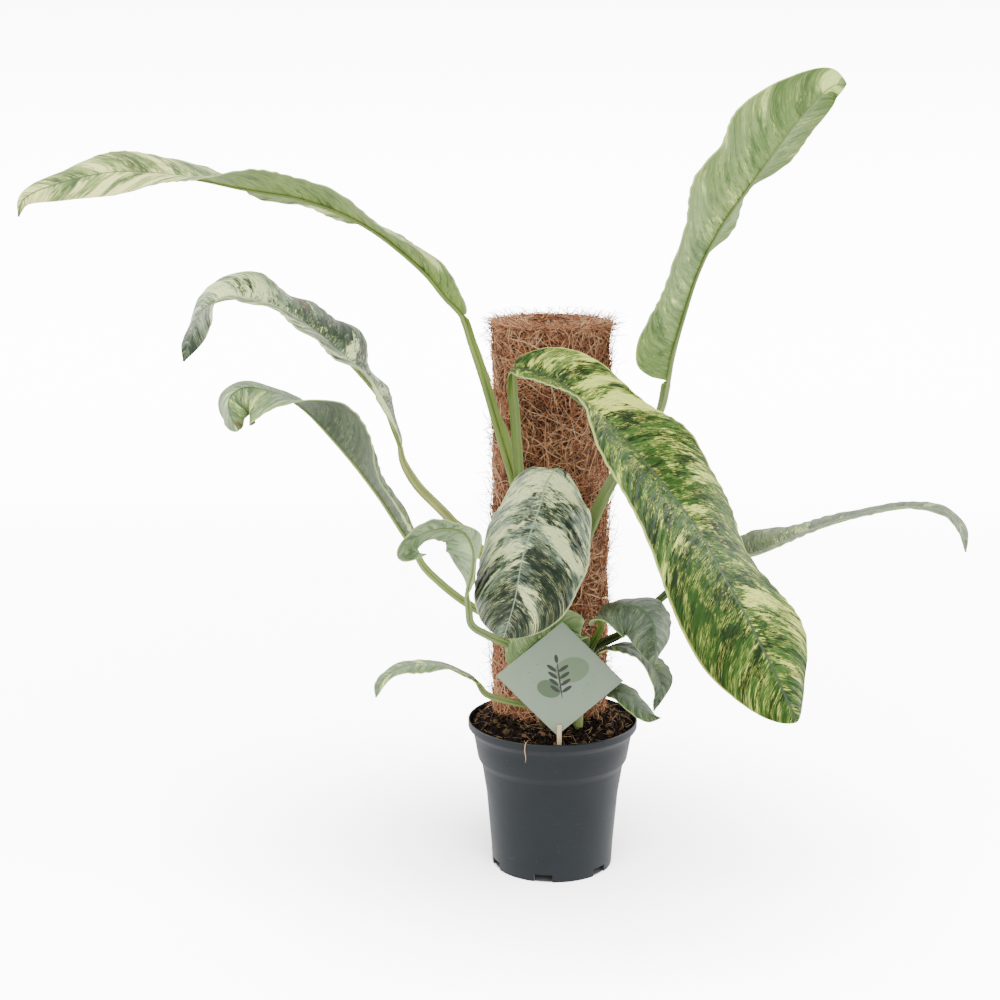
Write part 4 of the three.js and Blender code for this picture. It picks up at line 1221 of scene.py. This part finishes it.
# %% Plastic of the pot
plastic, tree, shader = finish("pot_plastic", 0.42, Specular_IOR_Level=0.32)
where = object_place(tree)
cloud = noise(tree, where, 4, 0.6, scale=28)
rings = noise(tree, stretched(tree, where, (18, 18, 420)), 3, 0.6)
dust = step_up(tree, noise(tree, where, 6, 0.75, scale=240), 0.62, 0.74)
scuff = noise(tree, stretched(tree, where, (30, 30, 260), 5), 4, 0.7)
scuff = step_up(tree, scuff, 0.66, 0.76)
base = blend(tree, cloud, tint("0e1317"), tint("1b2227"))
base = blend(tree, times(tree, dust, 0.35), base, tint("5c6061"))
base = blend(tree, times(tree, scuff, 0.25), base, tint("4a4f52"))
tree.links.new(base, shader.inputs["Base Color"])
tree.links.new(math_node(tree, "MULTIPLY_ADD", cloud, 0.25, 0.3), shader.inputs["Roughness"])
bump(tree, shader, math_node(tree, "MULTIPLY_ADD", rings, 0.5, cloud), 0.0006, 0.25)
pot.data.materials.append(plastic)
print("plastic:", len(tree.nodes), "nodes")

# %% [markdown]
# The pole is a sleeve of matted coconut fibre round a core of peat. Hair curves would
# make good fibres, but the exported model keeps only meshes. So the sleeve is a lumpy
# tube, nearly black in its gaps, and some thousands of curly fibres lie over it as thin
# tubes. A few of them stand out, and give the pole its soft outline.

# %% Coir sleeve
POLE_X, POLE_Y, POLE_RADIUS, POLE_TOP = -3, 12, 49, 486
SLEEVE_INSIDE, SLEEVE_OUTSIDE, SLEEVE_FOOT = 43.5, 48.2, 120
SLEEVE_STEP, SLEEVE_ROWS = 2.5, 147
LUMP_HEIGHT, LUMPS_ABOVE = 0.45, 151
ROUGH_TOP = 8
WAVES_IN_OCTAVE = 4


def waves(points, seed, size, octaves=3):
    """A soft, even lumpiness from a few sine waves; size is the length of a lump."""
    rng = np.random.default_rng(seed)
    total = np.zeros(len(points))
    for octave in range(octaves):
        for _ in range(WAVES_IN_OCTAVE):
            turn = rng.normal(size=3)
            turn *= 2 * math.pi / (np.linalg.norm(turn) * size / 1.9**octave)
            total += np.sin(points @ turn + rng.uniform(0, 6.28)) * 0.55**octave
    return total / WAVES_IN_OCTAVE


def pole_lump(turn, z):
    """How far the sleeve swells at a place, as on the solid one."""
    lump = np.sin(7 * turn + z * 0.09) + np.sin(5 * turn - z * 0.13 + 2)
    return LUMP_HEIGHT * np.where(z > LUMPS_ABOVE, lump, 0)


foot = (SLEEVE_INSIDE, SLEEVE_FOOT)
wall = [(SLEEVE_OUTSIDE, SLEEVE_FOOT + SLEEVE_STEP * i) for i in range(SLEEVE_ROWS)]
lip = [(47.6, POLE_TOP - 0.3), (45, POLE_TOP - 0.3), (SLEEVE_INSIDE, POLE_TOP - 1.5)]
sleeve = spun("coir_sleeve", [foot] + wall + lip + [foot], 128)
body = points_of(sleeve) / MM
turn = np.arctan2(body[:, 1], body[:, 0])
swell = pole_lump(turn, body[:, 2]) + 0.9 * waves(body, seed=5, size=9)
body[:, :2] *= (1 + swell / POLE_RADIUS)[:, None]
at_top = body[:, 2] > POLE_TOP - ROUGH_TOP
body[:, 2] += np.where(at_top, 1.2 * waves(body, seed=6, size=14), 0)
body += (POLE_X, POLE_Y, 0)
place_points(sleeve, body * MM)
smooth(sleeve, 80)
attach(sleeve, "root")
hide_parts("coir_mat")
print("sleeve:", len(sleeve.data.polygons), "faces")

# %% The sleeve's dark mat, with painted shade in its gaps
mat, tree, shader = finish("coir_mat", 0.95)
tangle = noise(tree, object_place(tree), 6, 0.75, 2.5, scale=170)
# Painted shade: the light end of this blend is the coir's own brown, and its near-black end stands
# for the shadow in the gaps between the fibres.
base = blend(tree, step_up(tree, tangle, 0.42, 0.6), tint("1c0f09"), tint("5c3826"))
tree.links.new(base, shader.inputs["Base Color"])
bump(tree, shader, tangle, 0.004, 1.0)
sleeve.data.materials.append(mat)
print("mat:", len(tree.nodes), "nodes")

# %% [markdown]
# Things that repeat by the hundred - fibres, crumbs, chips - are modelled once. Thousands
# of objects would be slow, so each copy gets its own vertices, bent or turned to its
# place, in one mesh for the whole lot. A layer keeps a tint for each copy, which its
# finish reads.

# %% Copies of one model
STRAND_SIDES = 3


def copies(name, model, points, tints):
    """One mesh of many copies of a model; points is (copies, vertices, 3) in millimetres."""
    count, size = points.shape[:2]
    faces = [tuple(p.vertices) for p in model.data.polygons]
    bpy.data.objects.remove(model)
    mesh = bpy.data.meshes.new(name)
    every = [tuple(v + k * size for v in face) for k in range(count) for face in faces]
    mesh.from_pydata((points.reshape(-1, 3) * MM).tolist(), [], every)
    made = bpy.data.objects.new(name, mesh)
    bpy.context.scene.collection.objects.link(made)
    layer = mesh.color_attributes.new("tint", "FLOAT_COLOR", "POINT")
    values = np.repeat(np.stack([tints, tints, tints, np.ones(count)], -1), size, axis=0)
    layer.data.foreach_set("color", values.astype(np.float32).ravel())
    only(made)
    bpy.ops.object.shade_smooth()
    print(name, len(every), "faces")
    return made


def strands(name, paths, radii, tints, sides=STRAND_SIDES):
    """Thin threads along paths of (threads, points, 3), each a copy of one slim tube."""
    knots = paths.shape[1]
    model = sheet(name + "_model", knots, sides + 1)
    turn = np.linspace(2 * math.pi, 0, sides + 1)
    place_points(model, [(math.cos(t), math.sin(t), row) for row in range(knots) for t in turn])
    in_edit_mode(model, lambda: bpy.ops.mesh.remove_doubles(threshold=1e-4),
                 lambda: bpy.ops.mesh.fill_holes(sides=0))
    shape = points_of(model)
    row = np.rint(shape[:, 2]).astype(int)
    along = unit(np.gradient(paths, axis=1) + 1e-9)
    out = unit(paths * np.array([1, 1, 0]) - np.array([POLE_X, POLE_Y, 0]) + 1e-6)
    side = unit(np.cross(along, out) + 1e-9)
    over = np.cross(side, along)
    taper = (1 - 0.75 * np.abs(np.linspace(-1, 1, knots)) ** 3)[row]
    thick = radii[:, None, None] * taper[None, :, None]
    ring = shape[None, :, :1] * side[:, row] + shape[None, :, 1:2] * over[:, row]
    return copies(name, model, paths[:, row] + thick * ring, tints)


print("a thread has", STRAND_SIDES, "sides")

# %% [markdown]
# Coir fibres are curly and run every way. Each path starts from its own heading and
# curl, is wrapped round the pole, and bows off it a little. One fibre in five lifts one
# of its ends. Over the open top they lie round the ring, with lifted ends.

# %% Paths of the fibres round the pole and over its top
KNOTS = 8
FIBRE_LENGTH, TOP_FIBRE_LENGTH = (14, 60), (10, 34)
FIBRES_LIE_AT = 48.6
LOWEST = 136


def column(values):
    """One value for each thread, ready to be spread over the points of its path."""
    return values[:, None]


def fibre_paths(rng, count, stand_out):
    """Curly paths that lie on the pole; stand_out lifts one end off it."""
    t = np.linspace(-0.5, 0.5, KNOTS)[None, :]
    size = column(rng.uniform(*FIBRE_LENGTH, count))
    heading = column(rng.uniform(0, math.pi, count))
    curl = column(rng.uniform(0.1, 1, count))
    bend = column(rng.normal(0, 1.7, count))
    wiggle = column(rng.uniform(0, 6.28, count))
    angle = heading + curl * (bend * t + 0.5 * np.sin(9 * t + wiggle))
    across = np.cumsum(np.cos(angle), 1) * size / KNOTS
    up = np.cumsum(np.sin(angle), 1) * size / KNOTS
    turn = (column(rng.uniform(0, 2 * math.pi, count))
            + (across - across.mean(1, keepdims=True)) / POLE_RADIUS)
    z = column(rng.uniform(140, POLE_TOP, count)) + up - up.mean(1, keepdims=True)
    z = np.clip(z, LOWEST, POLE_TOP - 1 + 0.25 * column(stand_out))
    lift = column(rng.uniform(-1.2, 1.4, count))
    lift = lift + column(rng.uniform(0, 1.6, count)) * np.cos(math.pi * t)
    lift = lift + column(stand_out) * (t + 0.5) ** 2
    radius = FIBRES_LIE_AT + pole_lump(turn, z) + lift
    return np.stack([POLE_X + radius * np.cos(turn), POLE_Y + radius * np.sin(turn), z], -1)


def fibres_on_top(rng, count):
    """Curly paths over the pole's top, thickest near its edge, with their ends lifted."""
    t = np.linspace(-0.5, 0.5, KNOTS)[None, :]
    size = column(rng.uniform(*TOP_FIBRE_LENGTH, count))
    turn = column(rng.uniform(0, 2 * math.pi, count))
    radius = POLE_RADIUS * column(rng.uniform(0.25, 1, count)) ** 0.5
    heading = turn + math.pi / 2 + column(rng.normal(0, 0.7, count))
    angle = heading + column(rng.normal(0, 1.3, count)) * t
    x = (radius * np.cos(turn) + np.cumsum(np.cos(angle), 1) * size / KNOTS
         - np.cos(heading) * size / 2)
    y = (radius * np.sin(turn) + np.cumsum(np.sin(angle), 1) * size / KNOTS
         - np.sin(heading) * size / 2)
    reach = np.maximum(np.hypot(x, y) / (POLE_RADIUS + 1.5), 1)
    z = POLE_TOP - 3 + column(rng.uniform(0, 3.5, count))
    z = z + column(rng.gamma(1.5, 2.0, count)).clip(0, 8) * t**2 * 3
    return np.stack([POLE_X + x / reach, POLE_Y + y / reach, z], -1)


print("points along a fibre:", KNOTS)

# %% [markdown]
# Against a pale wall the pole has a fine fuzz: short threads that stick out, a fifth of
# them at the top edge. They reach 17 mm at the most, so that the dressed pole stays near
# the size of the solid one.

# %% Paths of the fuzz
FUZZ_KNOTS = 5
FUZZ_AT_TOP, FUZZ_STARTS_AT, FUZZ_REACH, FUZZ_RISE = 0.2, 48.4, 17, 6


def fuzz_paths(rng, count):
    """Short threads that stick out of the pole's side, a fifth of them at its top edge."""
    t = np.linspace(0, 1, FUZZ_KNOTS)[None, :]
    at_top = rng.random(count) < FUZZ_AT_TOP
    start = np.where(at_top, POLE_TOP - rng.uniform(0, 5, count),
                     rng.uniform(142, POLE_TOP - 2, count))
    size = column(rng.gamma(2.5, 3.4, count).clip(3, 26))
    course = unit(np.stack([rng.normal(0, 1, count), np.abs(rng.normal(0.8, 0.5, count)),
                            rng.normal(0.1, 0.9, count)], -1)) * size
    bend = rng.normal(0, 0.25, (count, 3)) * size
    side, out, up = [course[:, k:k + 1] * t + bend[:, k:k + 1] * t**2 for k in range(3)]
    z = np.clip(column(start) + up, LOWEST, POLE_TOP + FUZZ_RISE)
    turn = column(rng.uniform(0, 2 * math.pi, count)) + side / POLE_RADIUS
    radius = FUZZ_STARTS_AT + pole_lump(turn, z) + np.minimum(np.abs(out), FUZZ_REACH)
    return np.stack([POLE_X + radius * np.cos(turn), POLE_Y + radius * np.sin(turn), z], -1)


print("points along a thread of fuzz:", FUZZ_KNOTS)

# %% [markdown]
# The fibres go from dark brown over rust to straw. A colour ramp picks each one's colour
# by its tint, which is cheaper than a finish for each.

# %% Coir fibres and fuzz
FIBRE_LAYERS, FIBRES_IN_LAYER, TOP_FIBRES = 3, 3600, 260
STAND_OUT_SHARE = 0.2
FUZZ = 7000
fibre, tree, shader = finish("coir_fibre", 0.8)
value = add(tree, "ShaderNodeAttribute", attribute_name="tint").outputs["Fac"]
ramp = add(tree, "ShaderNodeValToRGB", {0: value})
stops = ramp.color_ramp.elements
stops[0].color, stops[1].color = tint("3c2014"), tint("ecc69a")
stops[1].position = 1.0
middle = stops.new(0.5)
middle.color = tint("ac6840")
tree.links.new(ramp.outputs[0], shader.inputs["Base Color"])

for number in range(FIBRE_LAYERS):
    rng = np.random.default_rng(40 + number)
    count = FIBRES_IN_LAYER
    stand_out = np.where(rng.random(count) < STAND_OUT_SHARE,
                         rng.gamma(2.2, 2.6, count).clip(2, 14), 0)
    paths = fibre_paths(rng, count, stand_out)
    paths = np.concatenate([paths, fibres_on_top(rng, TOP_FIBRES)])
    count += TOP_FIBRES
    radii = 0.14 + rng.gamma(1.8, 0.07, count).clip(0, 0.4)
    laid = strands(f"coir_fibres_{number + 1}", paths, radii, rng.beta(1.1, 1.1, count))
    laid.data.materials.append(fibre)
    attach(laid, "root")

rng = np.random.default_rng(45)
paths = fuzz_paths(rng, FUZZ)
radii = rng.uniform(0.15, 0.3, FUZZ)
laid = strands("coir_fuzz", paths, radii, rng.beta(1.8, 1.3, FUZZ))
laid.data.materials.append(fibre)
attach(laid, "root")

# %% [markdown]
# Peat mix is dark and crumbly, with bark and root fibres in it. Displacing a plane would
# give only its swell. So its body is turned like the pot, with a rough top that rises to
# the pole, and crumbs, bark chips and fibres are strewn over it. The core of the pole
# keeps its solid, and gets the same finish.

# %% Soil
SOIL_TOP = [(71.3, 128.3), (69, 129.6), (66, 130.4), (62, 132.4), (58, 134.6), (54, 136.6),
            (50, 138.5), (44, 140.6), (30, 141), (15, 141), (0.01, 141)]
SOIL_WALL = [(0.01, 9.8), (51.6, 9.8), (52.9, 21), (56.8, 66), (61.2, 93.5), (64.5, 99),
             (67.5, 116), (68.7, 122)]
SOIL_RINGS, SOIL_STEPS = 48, 120
ROUGH_ABOVE = 127
soil_rims, soil_heights = zip(*SOIL_TOP)
top_fine = [(r, float(np.interp(-r, [-rim for rim in soil_rims], soil_heights)))
            for r in np.linspace(soil_rims[0], soil_rims[-1], SOIL_RINGS)]
soil = spun("soil_piece", SOIL_WALL + top_fine, SOIL_STEPS)
ground = points_of(soil) / MM
rough = 1.3 * waves(ground, seed=8, size=16, octaves=4) + 0.7 * waves(ground, seed=9, size=5)
ground[:, 2] += np.where(ground[:, 2] > ROUGH_ABOVE, rough, 0)
place_points(soil, ground * MM)
smooth(soil, 80)
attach(soil, "root")
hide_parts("soil")
print("soil:", len(soil.data.polygons), "faces")

# %% Peat, on the soil and on the core
peat, tree, shader = finish("peat", 0.95, Specular_IOR_Level=0.1)
where = object_place(tree)
crumbs = noise(tree, where, 6, 0.7, scale=260)
specks = step_up(tree, noise(tree, where, 4, 0.6, scale=700), 0.69, 0.74)
base = blend(tree, step_up(tree, crumbs, 0.4, 0.62), tint("0a0604"), tint("1e130e"))
base = blend(tree, specks, base, tint("8a6b4e"))
tree.links.new(base, shader.inputs["Base Color"])
bump(tree, shader, crumbs, 0.003, 1.0)
soil.data.materials.append(peat)
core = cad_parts["pole_fill"]
core.data.materials.clear()
core.data.materials.append(peat)
print("peat:", len(tree.nodes), "nodes")

# %% Helpers for what is strewn on the soil and on top of the core
SOIL_REACH, CORE_REACH, CORE_TOP = 70, 43, 481.0


def soil_height(x, y):
    """The height of the soil at a place."""
    return np.interp(np.hypot(x, y), soil_rims[::-1], soil_heights[::-1])


def on_soil(rng, count):
    """Random places on the soil between the pole and the rim."""
    radius = np.sqrt(rng.uniform(0, SOIL_REACH**2, count * 4))
    turn = rng.uniform(0, 2 * math.pi, count * 4)
    x, y = radius * np.cos(turn), radius * np.sin(turn)
    free = np.hypot(x - POLE_X, y - POLE_Y) > POLE_RADIUS - 1
    x, y = x[free][:count], y[free][:count]
    return np.stack([x, y, soil_height(x, y)], -1)


def on_core(rng, count):
    """Random places on the core's top."""
    radius = np.sqrt(rng.uniform(0, CORE_REACH**2, count))
    turn = rng.uniform(0, 2 * math.pi, count)
    return np.stack([POLE_X + radius * np.cos(turn), POLE_Y + radius * np.sin(turn),
                     np.full(count, CORE_TOP)], -1)


def strewn(rng, for_soil, for_core):
    """Places for so many things on the soil, and so many on the core."""
    return np.concatenate([on_soil(rng, for_soil), on_core(rng, for_core)])


def random_turns(rng, count):
    """Random rotation matrices."""
    q = unit(rng.normal(size=(count, 4)))
    w, x, y, z = q.T
    return np.stack([1 - 2 * (y * y + z * z), 2 * (x * y - z * w), 2 * (x * z + y * w),
                     2 * (x * y + z * w), 1 - 2 * (x * x + z * z), 2 * (y * z - x * w),
                     2 * (x * z - y * w), 2 * (y * z + x * w), 1 - 2 * (x * x + y * y)],
                    -1).reshape(-1, 3, 3)


print("the core's top is at", CORE_TOP, "mm")

# %% Lumps, and their two-toned finish
LENGTHS, WIDTHS = (0.8, 1.6), (0.6, 1)


def lumps(name, seed, places, size, flat, material):
    """Small lumps, each a bent copy of one ball."""
    rng = np.random.default_rng(seed)
    bpy.ops.object.select_all(action="DESELECT")
    bpy.ops.mesh.primitive_ico_sphere_add(subdivisions=1, radius=1)
    model = bpy.context.object
    count = len(places)
    shape = points_of(model)[None] * rng.uniform(0.6, 1.3, (count, len(model.data.vertices), 1))
    sizes = rng.uniform(*size, (count, 1, 1)) * np.stack(
        [rng.uniform(*LENGTHS, count), rng.uniform(*WIDTHS, count),
         rng.uniform(flat, flat * 1.6, count)], -1)[:, None]
    turned = np.einsum("nij,nvj->nvi", random_turns(rng, count), shape * sizes)
    made = copies(name, model, places[:, None] + turned, rng.random(count))
    for polygon in made.data.polygons:
        polygon.use_smooth = False
    made.data.materials.append(material)
    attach(made, "root")


def two_tone(name, dark, light):
    """A rough finish that goes from dark to light with each copy's own tint."""
    made, tree, shader = finish(name, 0.95, Specular_IOR_Level=0.15)
    value = add(tree, "ShaderNodeAttribute", attribute_name="tint").outputs["Fac"]
    grain = noise(tree, object_place(tree), 4, 0.7, scale=900)
    share = math_node(tree, "MULTIPLY_ADD", value, 0.8, -0.3)
    share = math_node(tree, "MULTIPLY_ADD", grain, 0.6, share, clamp=True)
    tree.links.new(blend(tree, share, tint(dark), tint(light)), shader.inputs["Base Color"])
    bump(tree, shader, grain, 0.001, 1.0)
    return made


print("a lump is", LENGTHS, "of its size long and", WIDTHS, "wide")

# %% Crumbs and bark chips
rng = np.random.default_rng(60)
lumps("peat_crumbs", 61, strewn(rng, 1500, 700), (0.7, 2.3), 0.7,
      two_tone("peat_crumb", "090504", "2a1c15"))
lumps("bark_chips", 62, strewn(rng, 130, 25) + (0, 0, 1), (1.2, 3.8), 0.22,
      two_tone("bark_chip", "1a110c", "745a42"))

# %% Root fibres in the peat
ROOT_LENGTH, ROOT_RADIUS = (5, 16), (0.14, 0.32)
root_places = strewn(rng, 240, 60)
roots_in_all = len(root_places)
t = np.linspace(-0.5, 0.5, KNOTS)[None, :, None]
heading = unit(rng.normal(size=(roots_in_all, 1, 3)) * (1, 1, 0.25))
sideways = unit(np.cross(heading, (0, 0, 1.0)))
size = rng.uniform(*ROOT_LENGTH, (roots_in_all, 1, 1))
bend = rng.normal(0, 0.5, (roots_in_all, 1, 1))
root_paths = root_places[:, None] + size * (heading * t + sideways * bend * (t**2 - 0.1))
root_paths[..., 2] += 1.2 + rng.uniform(0, 1.2, (roots_in_all, 1))
roots = strands("peat_fibres", root_paths, rng.uniform(*ROOT_RADIUS, roots_in_all),
                rng.random(roots_in_all) ** 1.6)
roots.data.materials.append(two_tone("peat_fibre", "3f2a1c", "d2b184"))
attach(roots, "root")

# %% [markdown]
# One loose fibre of the pole has fallen over the pot's rim. It is a single thread of the
# same kind, led over the rim point by point.

# %% Fibre over the rim
RIM_FIBRE = [(-20, -60, 133), (-21, -66, 135), (-22.5, -71.4, 135.2), (-23.3, -73, 132.5),
             (-23.6, -72.6, 128), (-23, -71.9, 124), (-22.6, -70.4, 120), (-23.2, -69.2, 116)]
stray = strands("rim_fibre", np.array([RIM_FIBRE], float), np.array([0.35]), np.array([0.8]), 6)
stray.data.materials.append(fibre)
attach(stray, "root")

# %% [markdown]
# The label is a stiff square card that stands on its corner, gripped by a split stick.
# Both lean to the viewer, and the card bows a little. A plane with a thickness would do.
# Here a flat box is rounded, subdivided, turned on its corner and bent. Its turn and lean
# are in degrees, and its "print" map holds centimetres from its centre.

# %% Card
CARD_SIDE, CARD_THICKNESS, CARD_CORNER, CARD_LEAN, CARD_TURN = 76, 1.0, 9, 10, 47
CARD_BOW = 0.0006
STICK_X, STICK_Y, STICK_Z = 5.8, -64, 131


def leaning(points):
    """Leans points to the viewer about the foot of the stick."""
    c, s = math.cos(math.radians(CARD_LEAN)), math.sin(math.radians(CARD_LEAN))
    x, y, z = np.asarray(points, float).T
    return np.stack([x + STICK_X, y * c - z * s + STICK_Y, y * s + z * c + STICK_Z], -1)


def rounded(made, width):
    """Rounds a piece's edges; the width is in millimetres."""
    rounding = made.modifiers.new("rounding", "BEVEL")
    rounding.width = width * MM
    rounding.segments = 2
    finish_modifiers(made)


card = block((CARD_SIDE, CARD_THICKNESS, CARD_SIDE), (0, 0, 0))
card.name = card.data.name = "label_card_piece"
rounded(card, 0.25)
in_edit_mode(card, lambda: bpy.ops.mesh.subdivide(number_cuts=6))
x, y, z = (points_of(card) / MM).T
c, s = math.cos(math.radians(CARD_TURN)), math.sin(math.radians(CARD_TURN))
upright = np.stack([x * c + z * s, y, z * c - x * s], -1)
card.data.uv_layers[0].name = "print"
set_uv(card, "print", upright[:, [0, 2]] / 10)
bowed = upright.copy()
bowed[:, 1] += CARD_BOW * (upright[:, 0] ** 2)
place_points(card, leaning(bowed + (0, 0, CARD_CORNER + CARD_SIDE * math.sqrt(0.5))) * MM)
smooth(card, 40)
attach(card, "root")
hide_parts("label_card")
print("card:", len(card.data.polygons), "faces")

# %% [markdown]
# The print is a plain one of two soft ovals, a sprig and a few dots. An image could carry
# it, but ovals in the node tree stay sharp and need no file.

# %% Print of the card, in centimetres from its centre
INK, SOFT_INK = "2c312a", "485444"
LEAFLETS = 4
DOTS = ((-2.6, 0.6, 0.05), (-2.2, -0.3, 0.04), (-1.9, 1.4, 0.05), (2.4, -0.4, 0.05),
        (2.0, -1.3, 0.04), (2.9, 0.3, 0.04))
card_print, tree, shader = finish("label_print", 0.6)
print_place = add(tree, "ShaderNodeUVMap", uv_map="print").outputs[0]


def oval(centre, size, angle=0.0, soft=0.03):
    """1 inside an oval on the card, in centimetres."""
    turned = add(tree, "ShaderNodeMapping", {
        "Vector": print_place, "Location": (*centre, 0), "Rotation": (0, 0, math.radians(angle)),
        "Scale": (*size, 1)}, vector_type="TEXTURE")
    reach = add(tree, "ShaderNodeVectorMath", {0: turned.outputs[0]}, operation="LENGTH")
    return rest_of(tree, step_up(tree, reach.outputs["Value"], 1 - soft, 1 + soft))


def printed(colour, mask, code, share=1.0):
    """Prints a shape in one ink."""
    return blend(tree, times(tree, mask, share), colour, tint(code))


colour = blend(tree, noise(tree, print_place, 3, 0.5, scale=0.8), tint("82907c"), tint("8b9b85"))
colour = printed(colour, oval((1.0, 0.9), (1.5, 1.15), 20), "6c8061")
colour = printed(colour, oval((-0.9, -0.9), (1.05, 0.8), -25), "54684b")
colour = printed(colour, oval((0.0, -0.1), (0.07, 1.75), 8), INK)
for k in range(LEAFLETS):
    for sign in (-1, 1):
        centre = (sign * 0.5 + 0.12 - 0.1 * k, -0.9 + 0.65 * k)
        colour = printed(colour, oval(centre, (0.5, 0.17), sign * 38), INK)
colour = printed(colour, oval((-0.3, 1.95), (0.16, 0.4), 8), INK)
for x, z, radius in DOTS:
    colour = printed(colour, oval((x, z), (radius, radius), 0, 0.2), SOFT_INK, 0.8)
tree.links.new(colour, shader.inputs["Base Color"])
bump(tree, shader, noise(tree, print_place, 3, 0.6, scale=30), 0.0002, 0.2)
card.data.materials.append(card_print)
print("print:", len(tree.nodes), "nodes")

# %% [markdown]
# The stick is a square rod of pale wood, split at its top to hold the card's corner. A
# box is cut by a thinner box, leaned like the card and rounded, and a noise drawn out
# along it gives the grain.

# %% Stick
STICK_SIZE, STICK_MIDDLE = (4, 4, 56), -8
SLIT_SIZE, SLIT_MIDDLE = (8, 1.5, 20), CARD_CORNER + 8
stick = block(STICK_SIZE, (0, 0, STICK_MIDDLE))
stick.name = stick.data.name = "label_stick_piece"
cut(stick, [block(SLIT_SIZE, (0, 0, SLIT_MIDDLE))])
place_points(stick, leaning(points_of(stick) / MM) * MM)
rounded(stick, 0.3)
smooth(stick, 40)
wood, tree, shader = finish("stick_wood", 0.75)
grain = noise(tree, stretched(tree, object_place(tree), (900, 900, 45)), 4, 0.6, 0.6)
base = blend(tree, grain, tint("b89a6c"), tint("e6d3ad"))
tree.links.new(base, shader.inputs["Base Color"])
bump(tree, shader, grain, 0.0005, 0.5)
stick.data.materials.append(wood)
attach(stick, "root")
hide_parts("label_stick")
print("stick:", len(stick.data.polygons), "faces")
